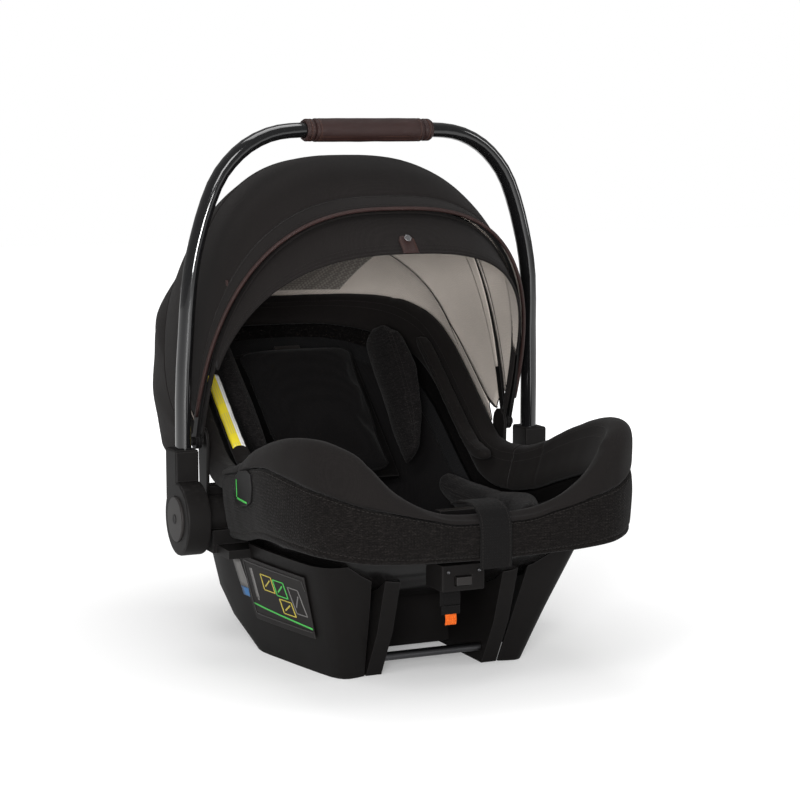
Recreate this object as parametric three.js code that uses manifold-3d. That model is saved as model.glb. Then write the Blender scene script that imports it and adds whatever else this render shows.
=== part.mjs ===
// Infant car seat: a moulded bucket shell on two base skirts, a swinging carry
// handle, a folding canopy with a flip-out visor, fabric covers and a sliding
// head support. Millimetres, +Z up, the front of the seat faces -Y.
import * as THREE from 'three';
import { mergeVertices } from 'three/addons/utils/BufferGeometryUtils.js';
import Module from 'manifold-3d';

const wasm = await Module();
wasm.setup();

// ---------------------------------------------------------------- dimensions
const BOWL_CENTRE_Y = -20;     // plan centre of the bucket
const WALL_POWER = 6;          // how upright the bucket walls stand
const SHELL_WALL = 5;          // moulded wall thickness
const COVER_GAP = 0.8;         // air between neighbouring soft layers
const RIM_STEPS = 60;          // facets round the bucket

// The shell's outer rim, right half, from the front lip to the head end.
const RIM_HALF = [
  [0, -311, 174], [52, -312, 177], [98, -313, 198], [137, -308, 236], [162, -284, 249],
  [174, -245, 249], [179, -200, 240], [179, -150, 224], [176, -105, 206], [172, -55, 194],
  [168, 0, 198], [168, 45, 231], [168, 90, 268], [167, 130, 299], [163, 170, 321],
  [150, 212, 334], [122, 254, 339], [72, 284, 339], [0, 292, 338],
];
// Height of the bucket's floor along the seat.
const FLOOR = [
  [-330, 141], [-300, 132], [-260, 116], [-200, 92], [-140, 74], [-80, 66], [-20, 70],
  [40, 98], [100, 146], [160, 198], [220, 256], [260, 294], [310, 336],
];
// Hem of the outer cover and the seam above it, by angle round the rim.
const HEM = [[0, 140], [18, 143], [32, 150], [45, 150], [54, 145], [64, 135], [90, 124]];
const SEAM = [[0, 178], [9, 179], [23, 197], [32, 212], [45, 222], [54, 216], [64, 205], [90, 192]];

const COVER_THICK = 7;
const COVER_END = 78;          // degrees from the front where the outer cover stops
const REAR_STRIP_START = 78.3;

const HUB = { y: -18, z: 146, r: 39, inner: 194, outer: 219.6 };
const BUTTON = { r: 24, inner: 215.8, outer: 222, travel: 4 };
const TUBE = { wide: 16, deep: 24 };
const GRIP = { half: 62.6, cuff: 73, wide: 25, deep: 31 };
const HANDLE_PATH = [
  [205, 0, 178], [205, 0, 217], [204.5, -1, 283], [202, -4, 336], [199.5, -8, 384],
  [195, -9, 416], [188.5, -10, 443], [179, -11, 474], [167, -12, 501], [153, -13, 519],
  [137, -14, 533], [117, -15, 543.5], [97, -15.6, 548.6], [76, -15.8, 550],
];

const CANOPY = { y: 15, z: 222, power: 2.7 };
const CANOPY_FOLD = 31;        // degrees the middle bow turns back
const FRONT_BOW = { angle: -19.5, r: 268.5, half: 188.4, thick: 3.6 };
const MID_BOW = { angle: 13, r: 302.3, half: 184.4, thick: 3 };
const PANEL_HALF = 190.6;
const PANEL_THICK = 1.8;

const RECLINE = THREE.MathUtils.degToRad(42.5);
const BACK_REF = { y: 160, z: 198 };

// ------------------------------------------------------------------- helpers
const rad = THREE.MathUtils.degToRad;
const V = (x, y, z) => new THREE.Vector3(x, y, z);
const mirrorX = (p) => V(-p.x, p.y, p.z);

const root = new THREE.Group();
root.name = 'infant_car_seat';

function add(name, geometry, color) {
  const g = geometry.clone();
  for (const key of Object.keys(g.attributes)) {
    if (key !== 'position') {
      g.deleteAttribute(key);
    }
  }
  const solid = outward(g.index ? g : mergeVertices(g, 1e-4));
  solid.computeVertexNormals();
  const mesh = new THREE.Mesh(solid, new THREE.MeshStandardMaterial({ color, name }));
  mesh.name = name;
  root.add(mesh);
}

// Smooth interpolation through [position, value] knots.
function spline(knots) {
  const xs = knots.map((k) => k[0]);
  const ys = knots.map((k) => k[1]);
  const last = xs.length - 1;
  const slope = (i) => {
    const a = Math.max(i - 1, 0);
    const b = Math.min(i + 1, last);
    return (ys[b] - ys[a]) / (xs[b] - xs[a]);
  };
  return (x) => {
    if (x <= xs[0]) {
      return ys[0] + slope(0) * (x - xs[0]);
    }
    if (x >= xs[last]) {
      return ys[last] + slope(last) * (x - xs[last]);
    }
    let i = 0;
    while (x > xs[i + 1]) {
      i += 1;
    }
    const h = xs[i + 1] - xs[i];
    const t = (x - xs[i]) / h;
    const t2 = t * t;
    const t3 = t2 * t;
    return (2 * t3 - 3 * t2 + 1) * ys[i] + (t3 - 2 * t2 + t) * h * slope(i)
      + (-2 * t3 + 3 * t2) * ys[i + 1] + (t3 - t2) * h * slope(i + 1);
  };
}

function signedVolume(g) {
  const p = g.attributes.position;
  const idx = g.index.array;
  const a = V(0, 0, 0);
  const b = V(0, 0, 0);
  const c = V(0, 0, 0);
  let sum = 0;
  for (let i = 0; i < idx.length; i += 3) {
    a.fromBufferAttribute(p, idx[i]);
    b.fromBufferAttribute(p, idx[i + 1]);
    c.fromBufferAttribute(p, idx[i + 2]);
    sum += a.dot(b.cross(c));
  }
  return sum / 6;
}

function outward(g) {
  if (signedVolume(g) < 0) {
    const idx = g.index.array;
    for (let i = 0; i < idx.length; i += 3) {
      [idx[i + 1], idx[i + 2]] = [idx[i + 2], idx[i + 1]];
    }
  }
  return g;
}

function geometryFrom(points, faces) {
  const g = new THREE.BufferGeometry();
  g.setAttribute('position', new THREE.Float32BufferAttribute(points.flatMap((p) => [p.x, p.y, p.z]), 3));
  g.setIndex(faces);
  return outward(mergeVertices(g, 1e-4));
}

// A sheet with thickness: two matching grids of points, joined along their edges.
function skin(outer, inner, { wrapI = false, wrapJ = false } = {}) {
  const ni = outer.length;
  const nj = outer[0].length;
  const points = [...outer.flat(), ...inner.flat()];
  const at = (side, i, j) => side * ni * nj + (i % ni) * nj + (j % nj);
  const faces = [];
  const quad = (a, b, c, d) => faces.push(a, b, c, a, c, d);
  const li = wrapI ? ni : ni - 1;
  const lj = wrapJ ? nj : nj - 1;
  for (let i = 0; i < li; i += 1) {
    for (let j = 0; j < lj; j += 1) {
      quad(at(0, i, j), at(0, i + 1, j), at(0, i + 1, j + 1), at(0, i, j + 1));
      quad(at(1, i, j), at(1, i, j + 1), at(1, i + 1, j + 1), at(1, i + 1, j));
    }
  }
  if (!wrapI) {
    for (let j = 0; j < lj; j += 1) {
      quad(at(0, 0, j), at(0, 0, j + 1), at(1, 0, j + 1), at(1, 0, j));
      quad(at(0, ni - 1, j), at(1, ni - 1, j), at(1, ni - 1, j + 1), at(0, ni - 1, j + 1));
    }
  }
  if (!wrapJ) {
    for (let i = 0; i < li; i += 1) {
      quad(at(0, i, 0), at(1, i, 0), at(1, i + 1, 0), at(0, i + 1, 0));
      quad(at(0, i, nj - 1), at(0, i + 1, nj - 1), at(1, i + 1, nj - 1), at(1, i, nj - 1));
    }
  }
  return geometryFrom(points, faces);
}

// Rings of points joined in order, with a fan closing each end.
function loft(rings) {
  const n = rings[0].length;
  const points = rings.flat();
  const faces = [];
  for (let i = 0; i + 1 < rings.length; i += 1) {
    for (let j = 0; j < n; j += 1) {
      const k = (j + 1) % n;
      faces.push(i * n + j, i * n + k, (i + 1) * n + k, i * n + j, (i + 1) * n + k, (i + 1) * n + j);
    }
  }
  const cap = (ring, base, flip) => {
    const centre = ring.reduce((s, p) => s.add(p), V(0, 0, 0)).divideScalar(n);
    const c = points.push(centre) - 1;
    for (let j = 0; j < n; j += 1) {
      const k = (j + 1) % n;
      faces.push(c, base + (flip ? j : k), base + (flip ? k : j));
    }
  };
  cap(rings[0], 0, false);
  cap(rings[rings.length - 1], (rings.length - 1) * n, true);
  return geometryFrom(points, faces);
}

function toManifold(geometry) {
  const g = geometry.clone();
  for (const key of Object.keys(g.attributes)) {
    if (key !== 'position') {
      g.deleteAttribute(key);
    }
  }
  const m = outward(mergeVertices(g.index ? g.toNonIndexed() : g, 1e-4));
  return new wasm.Manifold(new wasm.Mesh({
    numProp: 3,
    vertProperties: new Float32Array(m.attributes.position.array),
    triVerts: new Uint32Array(m.index.array),
  }));
}

function fromManifold(man) {
  const mesh = man.getMesh();
  const g = new THREE.BufferGeometry();
  g.setAttribute('position', new THREE.Float32BufferAttribute(Array.from(mesh.vertProperties), 3));
  g.setIndex(Array.from(mesh.triVerts));
  return g;
}

const join = (...gs) => fromManifold(gs.map(toManifold).reduce((a, b) => a.add(b)));
const cut = (g, ...tools) => fromManifold(tools.map(toManifold).reduce((a, b) => a.subtract(b), toManifold(g)));

function box(x0, x1, y0, y1, z0, z1) {
  const g = new THREE.BoxGeometry(x1 - x0, y1 - y0, z1 - z0);
  return g.translate((x0 + x1) / 2, (y0 + y1) / 2, (z0 + z1) / 2);
}

function cylinderX(r, x0, x1, y, z, sides = 32) {
  const g = new THREE.CylinderGeometry(r, r, x1 - x0, sides);
  return g.rotateZ(Math.PI / 2).translate((x0 + x1) / 2, y, z);
}

// A flat outline in the YZ plane pushed along X.
function extrudeX(outline, x0, x1, bevel = 0) {
  const shape = new THREE.Shape(outline.map(([y, z]) => new THREE.Vector2(y, z)));
  const g = new THREE.ExtrudeGeometry(shape, {
    depth: x1 - x0 - 2 * bevel,
    bevelEnabled: bevel > 0,
    bevelThickness: bevel,
    bevelSize: bevel,
    bevelOffset: -bevel,
    bevelSegments: 2,
  });
  const turn = new THREE.Matrix4().makeBasis(V(0, 1, 0), V(0, 0, 1), V(1, 0, 0));
  return g.applyMatrix4(turn).translate(x0 + bevel, 0, 0);
}

function mirrored(geometry) {
  const g = geometry.clone();
  g.scale(-1, 1, 1);
  return outward(g);
}

// Adds a right-hand piece and its mirror image on the left, each trimmed if asked.
function addPair(name, geometry, color, trim) {
  const right = geometry.index && !geometry.attributes.uv ? geometry : fromManifold(toManifold(geometry));
  const left = mirrored(right);
  add(`${name}_right`, trim ? cut(right, trim) : right, color);
  add(`${name}_left`, trim ? cut(left, trim) : left, color);
}

// --------------------------------------------------------------- bucket form
const rimCurve = new THREE.CatmullRomCurve3(
  [
    ...RIM_HALF.map(([x, y, z]) => V(x, y, z)),
    ...RIM_HALF.slice(1, -1).reverse().map(([x, y, z]) => V(-x, y, z)),
  ],
  true,
  'centripetal',
);
const rimTable = Array.from({ length: 720 }, (_, i) => {
  const t = i / 720;
  const p = rimCurve.getPoint(t);
  const d = rimCurve.getTangent(t);
  const angle = Math.atan2(p.x, BOWL_CENTRE_Y - p.y);
  return { angle: (angle + 2 * Math.PI) % (2 * Math.PI), p, n: V(-d.y, d.x, 0).normalize().negate() };
}).sort((a, b) => a.angle - b.angle);

function rimAt(phi) {
  const a = ((phi % (2 * Math.PI)) + 2 * Math.PI) % (2 * Math.PI);
  let hi = rimTable.findIndex((r) => r.angle > a);
  hi = hi < 0 ? 0 : hi;
  const r0 = rimTable[(hi + rimTable.length - 1) % rimTable.length];
  const r1 = rimTable[hi];
  const span = (r1.angle - r0.angle + 2 * Math.PI) % (2 * Math.PI);
  const t = span > 0 ? ((a - r0.angle + 2 * Math.PI) % (2 * Math.PI)) / span : 0;
  const p = r0.p.clone().lerp(r1.p, t);
  const n = r0.n.clone().lerp(r1.n, t).normalize();
  if (n.x * p.x + n.y * (p.y - BOWL_CENTRE_Y) < 0) {
    n.negate();
  }
  return { p, n };
}

const floorZ = spline(FLOOR);
const hemZ = spline(HEM);
const seamZ = spline(SEAM);

// A point on the bucket: phi turns round the rim from the front, s runs from
// the middle (0) to the rim (1); inset and drop move the surface in and down.
function bowl(phi, s, inset, drop, lift = 0) {
  const { p, n } = rimAt(phi);
  const x = p.x - n.x * inset;
  const y = p.y - n.y * inset;
  const py = BOWL_CENTRE_Y + s * (y - BOWL_CENTRE_Y);
  const depth = p.z + lift - floorZ(y) + drop;
  return V(s * x, py, floorZ(py) - drop + depth * s ** WALL_POWER);
}

// A point beside the rim: out is the distance outwards, z its height.
function besideRim(phi, out, z) {
  const { p, n } = rimAt(phi);
  return V(p.x + n.x * out, p.y + n.y * out, z);
}

const LEVELS = [0.2, 0.45, 0.65, 0.78, 0.86, 0.9, 0.935, 0.97, 1];
const wholeRim = Array.from({ length: RIM_STEPS }, (_, i) => (i / RIM_STEPS) * 2 * Math.PI);

// A closed layer of the bucket between two offset surfaces, up to level sMax.
function bowlLayer(low, high, sMax, liftLow = 0, liftHigh = 0) {
  const levels = LEVELS.filter((s) => s <= sMax + 1e-6);
  const points = [];
  const faces = [];
  const ring = (inset, drop, lift) => levels.map((s) => wholeRim.map((phi) => {
    points.push(bowl(phi, s, inset, drop, lift));
    return points.length - 1;
  }));
  const a = ring(low.inset, low.drop, liftLow);
  const b = ring(high.inset, high.drop, liftHigh);
  const centre = (inset, drop) => points.push(bowl(0, 0, inset, drop)) - 1;
  const ca = centre(low.inset, low.drop);
  const cb = centre(high.inset, high.drop);
  const n = RIM_STEPS;
  for (let j = 0; j < n; j += 1) {
    const k = (j + 1) % n;
    faces.push(ca, a[0][j], a[0][k]);
    faces.push(cb, b[0][k], b[0][j]);
    for (let i = 0; i + 1 < levels.length; i += 1) {
      faces.push(a[i][j], a[i + 1][j], a[i + 1][k], a[i][j], a[i + 1][k], a[i][k]);
      faces.push(b[i][j], b[i][k], b[i + 1][k], b[i][j], b[i + 1][k], b[i + 1][j]);
    }
    const e = levels.length - 1;
    faces.push(a[e][j], b[e][j], b[e][k], a[e][j], b[e][k], a[e][k]);
  }
  return geometryFrom(points, faces);
}

// Everything the shell fills, a little larger, used to trim what meets it.
function shellBlank(gap) {
  const rings = LEVELS.map((s) => wholeRim.map((phi) => bowl(phi, s, -gap, SHELL_WALL + gap, 0)));
  rings.push(wholeRim.map((phi) => besideRim(phi, gap, 420)));
  return loft(rings);
}

const shellCut = shellBlank(0.6);

// --------------------------------------------------------------------- shell
const shellSolid = bowlLayer(
  { inset: 0, drop: SHELL_WALL },
  { inset: SHELL_WALL, drop: 0 },
  1,
);
const strapSlot = box(-20, 20, -240, -232, 60, 160);
add('seat_shell', cut(shellSolid, strapSlot), 0x2b2b2e);

add('foam_liner', bowlLayer({ inset: 5.8, drop: -0.8 }, { inset: 13, drop: -9 }, 0.9), 0x8a8f94);
add('seat_cover', bowlLayer({ inset: 14, drop: -10 }, { inset: 17, drop: -13.5 }, 0.86), 0x35353a);

// ------------------------------------------------------- covers round the rim
const STRIP_LEVELS = [1, 0.97, 0.935];

// Angles from one end to the other that keep to the bucket's own facets.
function rimAngles(from, to) {
  const step = 360 / RIM_STEPS;
  const inside = [];
  for (let deg = Math.ceil(from / step + 0.1) * step; deg < to - 0.1 * step; deg += step) {
    inside.push(deg);
  }
  return [from, ...inside, to];
}

function rimStrip(from, to, edge) {
  const outer = [];
  const inner = [];
  for (const deg of rimAngles(from, to)) {
    const phi = rad(deg);
    const z = rimAt(phi).p.z;
    const low = edge(deg, z);
    outer.push([
      besideRim(phi, low.out, low.z),
      besideRim(phi, low.out - 0.6, Math.max(low.z + 1, z - 2)),
      besideRim(phi, low.out - 4, z + 7),
      besideRim(phi, -1, z + 10.5),
      ...STRIP_LEVELS.map((s) => bowl(phi, s, 14, -9, 6)),
    ]);
    inner.push([
      besideRim(phi, 1.5, low.z),
      besideRim(phi, 1.5, Math.max(low.z + 0.8, z - 2)),
      besideRim(phi, 1.2, z + 1.1),
      besideRim(phi, -2, z + 1.2),
      ...STRIP_LEVELS.map((s) => bowl(phi, s, 6.2, -1.2, 1.2)),
    ]);
  }
  return skin(outer, inner);
}

const absDeg = (deg) => Math.abs(deg);
const seamAt = (deg, z) => Math.min(seamZ(absDeg(deg)), z + 2);

add('rim_strip_front', rimStrip(-COVER_END, COVER_END, (deg, z) => (
  { out: 9, z: seamAt(deg, z) + COVER_GAP }
)), 0x3c3c40);
add('rim_strip_rear', rimStrip(REAR_STRIP_START, 360 - REAR_STRIP_START, (deg, z) => (
  { out: 6.4, z: z - 15 }
)), 0x46464b);

function outerCover() {
  const outer = [];
  const inner = [];
  for (const deg of rimAngles(-COVER_END, COVER_END)) {
    const phi = rad(deg);
    const z = rimAt(phi).p.z;
    const top = seamAt(deg, z);
    const hem = hemZ(absDeg(deg));
    const side = THREE.MathUtils.smoothstep(absDeg(deg), 22, 60);
    const lean = [9, 9.8, 9.8, 9.4, 8.4].map((out, k) => out - side * [0, 0.4, 2.2, 4.6, 7][k]);
    const heights = [0, 0.25, 0.5, 0.78, 1].map((t) => top + (hem - top) * t);
    outer.push(lean.map((out, k) => besideRim(phi, out, heights[k])));
    inner.push(lean.map((out, k) => besideRim(phi, out - COVER_THICK, heights[k])));
  }
  return skin(outer, inner);
}

add('outer_cover', cut(outerCover(), shellCut), 0x55524d);

// ---------------------------------------------------------------------- base
const SKIRT_LEVELS = [0, 3, 30, 60, 92, 127];
const SKIRT_FOOT = [[76, -180], [96, -184], [105, -176], [117, -130], [127, -80], [134, -36], [128, -16], [106, -6]];
const SKIRT_30 = [[79, -192], [102, -198], [113, -188], [128, -130], [139, -70], [145, -10], [141, 26], [118, 40]];
const SKIRT_60 = [[82, -205], [111, -210], [122, -199], [138, -135], [149, -70], [155, -5], [149, 48], [124, 66]];
const SKIRT_TOP = [[89, -232], [131, -236], [145, -224], [157, -160], [165, -80], [168, -5], [160, 66], [134, 92]];
const SKIRT_WALL = 4;

function smoothOutline(points, count) {
  const curve = new THREE.CatmullRomCurve3(points.map(([x, y]) => V(x, y, 0)), false, 'centripetal');
  const found = [];
  for (let i = 0; i <= count; i += 1) {
    const t = i / count;
    const d = curve.getTangent(t);
    found.push({ p: curve.getPoint(t), n: V(-d.y, d.x, 0).normalize() });
  }
  return found;
}

function blendOutline(a, b, t) {
  return a.map((p, i) => [p[0] + (b[i][0] - p[0]) * t, p[1] + (b[i][1] - p[1]) * t]);
}

function skirtOutline(z) {
  if (z <= 30) {
    return blendOutline(SKIRT_FOOT, SKIRT_30, z / 30);
  }
  if (z <= 60) {
    return blendOutline(SKIRT_30, SKIRT_60, (z - 30) / 30);
  }
  return blendOutline(SKIRT_60, SKIRT_TOP, (z - 60) / 67);
}

function skirt() {
  const outer = [];
  const inner = [];
  for (const z of SKIRT_LEVELS) {
    const line = smoothOutline(skirtOutline(z), 16);
    outer.push(line.map(({ p }) => V(p.x, p.y, z)));
    inner.push(line.map(({ p, n }) => V(p.x + n.x * SKIRT_WALL, p.y + n.y * SKIRT_WALL, z)));
  }
  return cut(skin(outer, inner), box(130, 200, -85, 10, 111.4, 140));
}

addPair('skirt', skirt(), 0x3a3a3d, shellCut);

const RAIL = [
  [-180, 0], [82, 0], [118, 34], [112, 90], [92, 175], [-232, 175], [-232, 118], [-208, 50],
];
const railSolid = cut(
  extrudeX(RAIL, 57, 74),
  extrudeX([[-150, 14], [60, 14], [84, 44], [60, 52], [-160, 52]], 60.5, 80),
);
addPair('base_rail', railSolid, 0x303033, shellCut);

add('front_cross_tube', cylinderX(4.5, -56.6, 56.6, -176, 17, 20), 0x9a9a9e);
add('rear_cross_tube', cylinderX(4.5, -56.6, 56.6, 66, 17, 20), 0x9a9a9e);

// A thin moulded wall that ties the two rails together under the bucket.
const crossWall = extrudeX([[-104, 8], [-100, 6], [-90, 66], [-90, 80], [-95, 80], [-95, 66]], -56.6, 56.6);
add('cross_wall', cut(crossWall, shellCut), 0x2a2a2d);

// The recessed guide panel on each skirt's side, proud of the wall by a little.
function skirtPlate(z0, z1, t0, t1, lift, thick) {
  const outer = [];
  const inner = [];
  for (let i = 0; i <= 4; i += 1) {
    const z = z0 + ((z1 - z0) * i) / 4;
    const curve = smoothOutline(skirtOutline(z), 64);
    const pick = [0, 0.25, 0.5, 0.75, 1].map((f) => curve[Math.round(64 * (t0 + (t1 - t0) * f))]);
    outer.push(pick.map(({ p, n }) => V(p.x - n.x * (lift + thick), p.y - n.y * (lift + thick), z)));
    inner.push(pick.map(({ p, n }) => V(p.x - n.x * lift, p.y - n.y * lift, z)));
  }
  return skin(outer, inner);
}

addPair('guide_panel', skirtPlate(42, 112, 0.34, 0.6, 1.2, 1.6), 0x4b4b4f);

// --------------------------------------------------------- shell side fittings
const hubBoss = join(
  cylinderX(22, 120, 193.2, HUB.y, HUB.z, 32),
  box(120, 186, -84, -40, 112, 121),
  box(120, 190, -47, 8, 112, 136),
);
const pinBore = cylinderX(6.4, 170, 200, HUB.y, HUB.z, 24);
addPair('hub_bracket', cut(hubBoss, pinBore), 0x2e2e31, shellCut);
addPair('pivot_pin', cylinderX(6, 171, 208, HUB.y, HUB.z, 24), 0xb5b5ba);

const mountPlate = extrudeX(
  [[4, 150], [26, 150], [29, 222], [26, 231], [20, 236], [10, 236], [4, 231], [1, 222]],
  175.2,
  178.6,
);
const mountFoot = box(130, 178.6, 4, 26, 150, 174);
const canopyPin = cylinderX(4.6, 178, 191.4, CANOPY.y, CANOPY.z, 20);
addPair('canopy_mount', join(mountFoot, mountPlate, canopyPin), 0x26262a, shellCut);

// Lap-belt guide let into the side of the cover.
function beltGuide() {
  const outer = [];
  const inner = [];
  const rows = [[0, 6], [0.12, 1.5], [0.5, 0], [0.88, 1.5], [1, 6]];
  for (const [t, short] of rows) {
    const from = 50.5 + short * 0.5;
    const to = 62.5 - short * 0.6;
    const ring = [0, 0.33, 0.67, 1].map((f) => {
      const deg = from + (to - from) * f;
      const z = 172 + t * 36 + (62 - deg) * 0.9;
      return { phi: rad(deg), z };
    });
    outer.push(ring.map(({ phi, z }) => besideRim(phi, 12.6, z)));
    inner.push(ring.map(({ phi, z }) => besideRim(phi, 10.2, z)));
  }
  return skin(outer, inner);
}

addPair('belt_guide', beltGuide(), 0x232326);

// ------------------------------------------------------------ handle assembly
const handleHalf = new THREE.CatmullRomCurve3(HANDLE_PATH.map((p) => V(...p)), false, 'centripetal');

function handleStations(startT, count) {
  const right = [];
  for (let i = 0; i <= count; i += 1) {
    const t = startT + ((1 - startT) * i) / count;
    right.push({ p: handleHalf.getPoint(t), d: handleHalf.getTangent(t) });
  }
  const left = right.slice().reverse().map(({ p, d }) => ({ p: mirrorX(p), d: V(d.x, -d.y, -d.z) }));
  return [...right, ...left];
}

// An oval section swept along the handle, wide across the frame and deep fore and aft.
function ovalRings(stations, wide, deep, sides = 16) {
  return stations.map(({ p, d }) => {
    const along = d.clone().normalize();
    const depth = V(0, 1, 0).addScaledVector(along, -along.y).normalize();
    const across = new THREE.Vector3().crossVectors(depth, along);
    return Array.from({ length: sides }, (_, i) => {
      const a = (i / sides) * 2 * Math.PI;
      return p.clone()
        .addScaledVector(across, (wide / 2) * Math.cos(a))
        .addScaledVector(depth, (deep / 2) * Math.sin(a));
    });
  });
}

add('handle_tube', loft(ovalRings(handleStations(0, 22), TUBE.wide, TUBE.deep)), 0x17171a);

const gripAxis = (x) => ({ p: V(x, -15.8, 550), d: V(-1, 0, 0) });
function gripRing(x0, x1, wide, deep, rounding) {
  const stations = [x1, x1 - rounding, (x0 + x1) / 2, x0 + rounding, x0].map(gripAxis);
  const outer = ovalRings(stations, wide, deep, 20);
  const ends = ovalRings(stations, wide - 2.4, deep - 2.4, 20);
  outer[0] = ends[0];
  outer[4] = ends[4];
  return skin(outer, ovalRings(stations, TUBE.wide + 0.9, TUBE.deep + 0.9, 20), { wrapJ: true });
}

add('grip_sleeve', gripRing(-GRIP.half, GRIP.half, GRIP.wide, GRIP.deep, 3), 0x3b2723);
addPair('grip_cuff', gripRing(GRIP.half + 0.4, GRIP.cuff, GRIP.wide - 1, GRIP.deep - 1, 2), 0x2c1c19);

const tubeCut = loft(ovalRings(
  [V(205, 0, 177.4), V(205, 0, 217), V(205, 0, 260)].map((p) => ({ p, d: V(0, 0, 1) })),
  TUBE.wide + 0.8,
  TUBE.deep + 0.8,
));
const hubDisc = extrudeX(
  Array.from({ length: 36 }, (_, i) => {
    const a = (i / 36) * 2 * Math.PI;
    return [HUB.y + HUB.r * Math.cos(a), HUB.z + HUB.r * Math.sin(a)];
  }),
  HUB.inner,
  HUB.outer,
  2.5,
);
const socket = extrudeX(
  [[-17, 150], [17, 158], [17.5, 215.5], [15.5, 217.6], [-15.5, 217.6], [-17.5, 215.5]],
  193.8,
  219.4,
  2,
);
const socketSolid = cut(
  join(hubDisc, socket),
  tubeCut,
  cylinderX(BUTTON.r + 0.5, 211, 230, HUB.y, HUB.z, 32),
  cylinderX(6.4, 190, 208.5, HUB.y, HUB.z, 24),
);
addPair('handle_socket', socketSolid, 0x2b2b2e);

function discX(r, x0, x1, y, z, sides, bevel) {
  const outline = Array.from({ length: sides }, (_, i) => {
    const a = (i / sides) * 2 * Math.PI;
    return [y + r * Math.cos(a), z + r * Math.sin(a)];
  });
  return extrudeX(outline, x0, x1, bevel);
}

addPair('hub_button', discX(BUTTON.r, BUTTON.inner, BUTTON.outer, HUB.y, HUB.z, 32, 1.2), 0x37373b);

// -------------------------------------------------------------------- canopy
// A point on a canopy arch: alpha runs across the seat, angle leans it from
// upright towards the back, r and half set the arch's height and half width.
function canopyPoint(alpha, angle, r, half, along = 0) {
  const e = 2 / CANOPY.power;
  const reach = r * Math.abs(Math.cos(alpha)) ** e;
  const x = half * Math.sign(Math.sin(alpha)) * Math.abs(Math.sin(alpha)) ** e;
  const a = rad(angle);
  return V(
    x,
    CANOPY.y + reach * Math.sin(a) + along * Math.cos(a),
    CANOPY.z + reach * Math.cos(a) - along * Math.sin(a),
  );
}

// Alphas spaced evenly along the arch, stopping where its leg is this short.
function archAlphas(count, r, shortest) {
  const end = Math.acos((shortest / r) ** (CANOPY.power / 2));
  return Array.from({ length: count + 1 }, (_, i) => {
    const t = (2 * i) / count - 1;
    return end * Math.sign(t) * Math.abs(t) ** 0.9;
  });
}

function bow({ angle, r, half, thick }, width) {
  const sections = archAlphas(30, r, 6).map((alpha) => [
    canopyPoint(alpha, angle, r, half, width / 2),
    canopyPoint(alpha, angle, r, half, -width / 2),
    canopyPoint(alpha, angle, r - thick, half - thick, -width / 2),
    canopyPoint(alpha, angle, r - thick, half - thick, width / 2),
  ]);
  const eyes = [1, -1].map((side) => {
    const x0 = side > 0 ? half - thick : -half;
    return cylinderX(8.5, x0, x0 + thick, CANOPY.y, CANOPY.z, 24);
  });
  const holes = [1, -1].map((side) => (
    cylinderX(5, side * (half - thick / 2) - 6, side * (half - thick / 2) + 6, CANOPY.y, CANOPY.z, 20)
  ));
  return cut(join(loft(sections), ...eyes), ...holes);
}

add('canopy_front_bow', bow(FRONT_BOW, 10), 0x202024);
add('canopy_mid_bow', bow(MID_BOW, 10), 0x202024);

// A fabric panel between two canopy angles; radius and half width may change across it.
function canopyPanel(steps, alphas, at, thick) {
  const outer = [];
  const inner = [];
  for (let i = 0; i <= steps; i += 1) {
    const { angle, r, half, spread = 0 } = at(i / steps);
    const lean = (alpha) => angle + spread * Math.sin(alpha) ** 16;
    outer.push(alphas.map((a) => canopyPoint(a, lean(a), r, half)));
    inner.push(alphas.map((a) => canopyPoint(a, lean(a), r - thick, half - thick)));
  }
  return skin(outer, inner);
}

const lerp = THREE.MathUtils.lerp;
const arch = archAlphas(28, 300, 34);

add('canopy_edge_band', canopyPanel(2, arch, (t) => (
  { angle: lerp(-23, -16.2, t), r: 271, half: PANEL_HALF }
), PANEL_THICK), 0x4a4a4f);
add('canopy_front_panel', canopyPanel(4, arch, (t) => (
  { angle: lerp(-15.9, 12, t), r: lerp(271, 304.5, Math.sin((t * Math.PI) / 2) ** 0.9), half: PANEL_HALF }
), PANEL_THICK), 0x55555a);
add('canopy_mid_panel', canopyPanel(5, arch, (t) => (
  { angle: lerp(12.3, 47, t), r: 304.7, half: PANEL_HALF, spread: 24 * t * t }
), PANEL_THICK), 0x4e4e53);

// The fixed rear fabric, from the canopy down over the back of the shell.
const REAR_RINGS = [
  { half: 184, side: 36, back: 326.35, z: 290, sideZ: 218, power: 3 },
  { half: 181, side: 36, back: 316, z: 245, sideZ: 200, power: 3 },
  { half: 180, side: 36, back: 296, z: 206, sideZ: 184, power: 3 },
];

function rearPanel(alphas, thick) {
  const ringAt = (ring, alpha, inset) => {
    const e = 2 / ring.power;
    const c = Math.abs(Math.cos(alpha)) ** e;
    const x = (ring.half - inset) * Math.sign(Math.sin(alpha)) * Math.abs(Math.sin(alpha)) ** e;
    return V(x, ring.side + (ring.back - inset - ring.side) * c, lerp(ring.sideZ, ring.z, c ** 1.3));
  };
  const top = (alpha, inset) => (
    canopyPoint(alpha, 47.6 + 24 * Math.sin(alpha) ** 16, 304.7 - inset, PANEL_HALF - inset)
  );
  const columns = alphas.map((alpha) => {
    const line = (inset) => {
      const phi = Math.PI - alpha * 0.8;
      const z = rimAt(phi).p.z;
      const knots = [
        top(alpha, inset),
        besideRim(phi, 10.6 - inset, z + 11),
        besideRim(phi, 14 - inset, z - 10),
        ...REAR_RINGS.map((ring) => ringAt(ring, alpha, inset)),
      ];
      return new THREE.CatmullRomCurve3(knots, false, 'centripetal').getPoints(7);
    };
    return { outer: line(0), inner: line(thick) };
  });
  return skin(columns.map((c) => c.outer), columns.map((c) => c.inner));
}

add('canopy_rear_panel', rearPanel(arch, 2), 0x45454a);

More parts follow.
